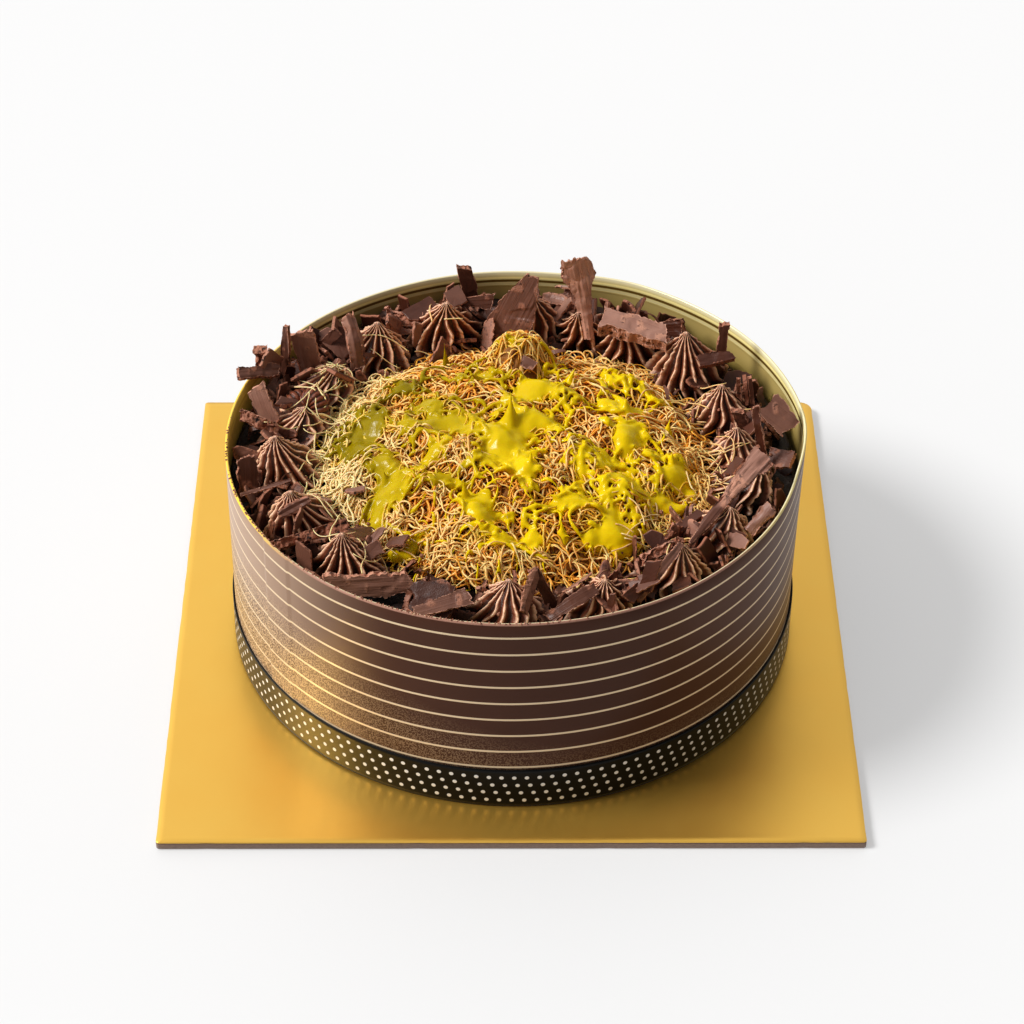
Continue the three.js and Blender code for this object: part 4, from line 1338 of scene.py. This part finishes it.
# Printed lines outside: the drop of the first from the rim, the pitch and half a width
LINE_FIRST = 6.4
LINE_PITCH = 7.67
LINE_HALF = 0.45
# Lines that border the lining: from and to below the rim, and tone
LINING_LINES = ((2.2, 3.1, "FFF0A8"), (3.5, 4.6, "6E5626"), (4.9, 6.0, "EADCA4"))


def unrolled(s):
    """The way round and the drop from the top edge in millimetres."""
    node = s.add("ShaderNodeUVMap", uv_map="unrolled")
    split = s.add("ShaderNodeSeparateXYZ", None, {0: node.outputs[0]})
    return [s.times(split.outputs[k], 1 / MM) for k in (0, 1)]


def past_line(s, below):
    """How far below the nearest printed line a place is."""
    rows = s.math("DIVIDE", s.minus(below, LINE_FIRST), LINE_PITCH)
    share = s.minus(s.math("FRACT", s.plus(rows, 0.5)), 0.5)
    return s.times(share, LINE_PITCH)


def between(s, value, low, high, soft=0.12):
    """1 from low to high and 0 outside, with soft edges."""
    return s.times(s.step(value, low - soft, low + soft), s.step(value, high + soft, high - soft))


def collar_finish():
    s = Surface("lined_foil_card", specular_ior_level=0.14, sheen_weight=0.12, sheen_roughness=0.4)
    s.shader.inputs["Sheen Tint"].default_value = colour("F0CDA8")
    below = unrolled(s)[1]
    inside = s.value("inside")
    across = s.split_place(0)
    line = between(s, past_line(s, below), -LINE_HALF, LINE_HALF)
    line = s.times(line, s.step(below, 3.0, 3.2))
    ground_print_and_sheen = s.mix(s.noise(30.0), "4A2C20", "58392C")
    # Painted sheen: the ground turns browner towards the right and pale tan towards the left.
    ground_print_and_sheen = s.mix(s.times(s.step(across, 40.0, 100.0), 0.4), ground_print_and_sheen, "6E4A34")
    ground_print_and_sheen = s.mix(s.times(s.step(across, -38.0, -104.0), 0.95), ground_print_and_sheen, "B29680")
    # Printed glitter low on the collar; towards the left it reaches higher and is much stronger, as painted
    # glint.
    start = s.scaled(s.step(across, 30.0, -90.0), -36.0, 58.0)
    low = s.math("DIVIDE", s.minus(below, start), 20.0, clamp=True)
    glitter = s.mix(s.step(s.noise(0.5, 0), 0.42, 0.6), "4E3A2C", "DCBC94")
    glitter_and_glint_share = s.scaled(s.step(across, -55.0, -100.0), 0.55, 0.25)
    ground_print_and_sheen = s.mix(s.times(low, glitter_and_glint_share), ground_print_and_sheen, glitter)
    outside = s.mix(line, ground_print_and_sheen, "E4CDAC")
    front = s.times(s.step(s.split_place(1), -45.0, -80.0), s.step(s.noise(2.5), 0.1, 0.4))
    # Painted light: the rim's top edge turns brighter gold towards the left.
    rim = s.mix(s.step(across, -60.0, -98.0), "E4D090", "FFD450")
    outside = s.mix(s.step(below, 0.5, 1.0), s.mix(front, rim, "B08674"), outside)
    lining_and_painted_light = s.mix(s.step(below, 0.5, 2.4), "F0E8C0", "E0D090")
    # Below the printed lines the lining darkens downwards, as painted shade.
    lining_and_painted_light = s.mix(s.step(below, 6.0, 6.5), lining_and_painted_light, s.mix(s.step(below, 8.0, 18.0), "CEB876", "A89250"))
    for low_edge, high_edge, tone in LINING_LINES:
        lining_and_painted_light = s.mix(between(s, below, low_edge, high_edge), lining_and_painted_light, tone)
    # Painted reflection: the lining turns bright gold towards the left.
    lining_and_painted_light = s.mix(s.times(s.step(across, -70.0, -100.0), 0.85), lining_and_painted_light, "FFDC60")
    s.link(s.mix(inside, outside, lining_and_painted_light), "Base Color")
    s.link(s.math("MAXIMUM", s.times(line, 0.15), s.times(inside, 0.15)), "Metallic")
    s.link(s.scaled(s.noise(8.0), 0.1, 0.28), "Roughness")
    s.bump(s.plus(s.times(line, 0.6), s.times(low, 0.4)), 0.08)
    return s.material


# The ribbon's dots: drop of their first row, pitch and shift of the rows, size and number in a row
DOT_ROWS_BELOW = 3.55
DOT_ROW_PITCH = 3.67
DOT_ROW_SHIFT = 1.2
DOT_RADIUS = 0.8
DOTS_ROUND = 148


def ribbon_finish():
    s = Surface("dotted_satin", specular_ior_level=0.22, sheen_weight=0.1, sheen_roughness=0.35)
    way, below = unrolled(s)
    dot_pitch = 2 * math.pi * RIBBON_OUTSIDE / DOTS_ROUND
    rows = s.math("DIVIDE", s.minus(below, DOT_ROWS_BELOW), DOT_ROW_PITCH)
    row = s.math("ROUND", rows)
    up = s.times(s.minus(rows, row), DOT_ROW_PITCH)
    shifted = s.math("DIVIDE", s.minus(way, s.times(row, DOT_ROW_SHIFT)), dot_pitch)
    aside = s.times(s.minus(shifted, s.math("ROUND", shifted)), dot_pitch)
    away = s.math("SQRT", s.plus(s.times(up, up), s.times(aside, aside)))
    dot = s.minus(1, s.step(away, DOT_RADIUS - 0.12, DOT_RADIUS + 0.12))
    real_row = s.times(s.step(row, -0.6, -0.4), s.minus(1, s.step(row, 3.4, 3.6)))
    dot = s.times(dot, real_row)
    weave = s.noise(0.35, 1, stretch=(0.3, 0.3, 3.0))
    cloth_and_sheen = s.mix(weave, "060606", "161515")
    # Painted sheen: the cloth turns grey towards the left.
    cloth_and_sheen = s.mix(s.times(s.step(s.split_place(0), -60.0, -104.0), 0.6), cloth_and_sheen, "3A3836")
    s.link(s.mix(dot, cloth_and_sheen, "E8E6E2"), "Base Color")
    s.link(s.scaled(weave, 0.2, 0.25), "Roughness")
    s.bump(s.plus(s.times(weave, 0.3), s.times(dot, 0.7)), 0.06)
    return s.material


def board_finish():
    s = Surface("gold_foil_card")
    height = s.split_place(2)
    foil = s.step(height, 2.95, 3.05)
    gold = s.mix(s.noise(18.0, 4), "FFCC64", "FFD26C")
    card = s.mix(s.noise(1.2, 5, stretch=(1, 1, 2.5)), "6E5A50", "A08674")
    fold = s.times(s.step(height, 2.6, 2.7), s.minus(1, s.step(height, 2.9, 3.0)))
    card = s.mix(fold, card, "3C2A1E")
    s.link(s.mix(foil, card, gold), "Base Color")
    s.link(s.times(foil, 0.83), "Metallic")
    s.link(s.scaled(s.noise(9.0, 5), 0.08, 0.3), "Roughness")
    s.bump(s.noise(14.0, 3), 0.05)
    return s.material


def floor_finish():
    s = Surface("pale_floor", roughness=0.6, emission_strength=FLOOR_GLOW)
    s.shader.inputs["Emission Color"].default_value = colour("FFFFFF")
    s.link(s.mix(s.noise(300.0), "BABABA", "BCBCBC"), "Base Color")
    return s.material


# Stage
def make_floor():
    points = np.array([(FLOOR_HALF * x, FLOOR_HALF * y, -FLOOR_DROP) for x, y in SQUARE])
    mesh = new_mesh("floor", points, np.array([(0, 1, 2, 3)]))
    mesh.materials.append(floor_finish())
    new_object("floor", mesh)


def make_camera():
    data = bpy.data.cameras.new("camera")
    data.lens = CAMERA_LENS
    data.sensor_width = 36
    data.clip_end = 20
    camera = new_object("camera", data)
    forward = Vector(CAMERA_LOOK).normalized()
    right = forward.cross(Vector((0, 0, 1))).normalized()
    roll = Matrix.Rotation(-math.radians(CAMERA_ROLL), 3, forward)
    right, up = roll @ right, roll @ right.cross(forward)
    turn = Matrix((right, up, -forward)).transposed()
    camera.matrix_world = Matrix.Translation(Vector(CAMERA_PLACE) * MM) @ turn.to_4x4()
    bpy.context.scene.camera = camera


def make_light():
    sun = bpy.data.lights.new("key", "SUN")
    sun.energy = KEY_STRENGTH
    sun.angle = math.radians(KEY_SOFTNESS)
    new_object("key", sun).rotation_euler = Vector(KEY_FROM).to_track_quat("Z", "Y").to_euler()
    world = bpy.data.worlds.new("studio")
    world.use_nodes = True
    tree = world.node_tree
    way = add_node(tree, "ShaderNodeTexCoord").outputs["Generated"]
    change = add_node(tree, "ShaderNodeVectorMath", "DOT_PRODUCT", {0: way, 1: FILL_CHANGE})
    total = add_node(tree, "ShaderNodeMath", "ADD", {0: change.outputs["Value"], 1: FILL})
    background = tree.nodes["Background"]
    tree.links.new(total.outputs[0], background.inputs["Strength"])
    background.inputs["Color"].default_value = FILL_TONE
    bpy.context.scene.world = world
    bpy.context.scene.view_settings.view_transform = "Standard"
    bpy.context.scene.view_settings.look = "Medium High Contrast"


def main():
    make_camera()
    make_light()
    make_floor()
    make_board(board_finish())
    make_ribbon(ribbon_finish())
    make_collar(collar_finish())
    laid = [make_cake_body(cream_in_painted_shade_finish())]
    piped = piped_finish()
    laid += make_rosettes(piped)
    laid.append(make_ropes(piped))
    chocolate = chocolate_finish()
    laid += make_shards(chocolate)
    laid.append(make_heap_core(core_finish()))
    laid.append(make_cream(cream_finish()))
    toppings = solid_below(laid)
    make_rubble(toppings, chocolate)
    make_loose_chip(toppings, chocolate)
    make_rim_crumbs(chocolate)
    make_spill(toppings, strand_finish("loose_strand", "E4B070", "FFE2AE"))
    make_strands({
        "kunafa_toasted": strand_finish("toasted_strand", "B47A30", "E4AA4E"),
        "kunafa_golden": strand_finish("golden_strand", "E8942E", "FFBE4C"),
        "kunafa_pale": strand_finish("pale_strand", "F0B45C", "FFE09C"),
    })


main()
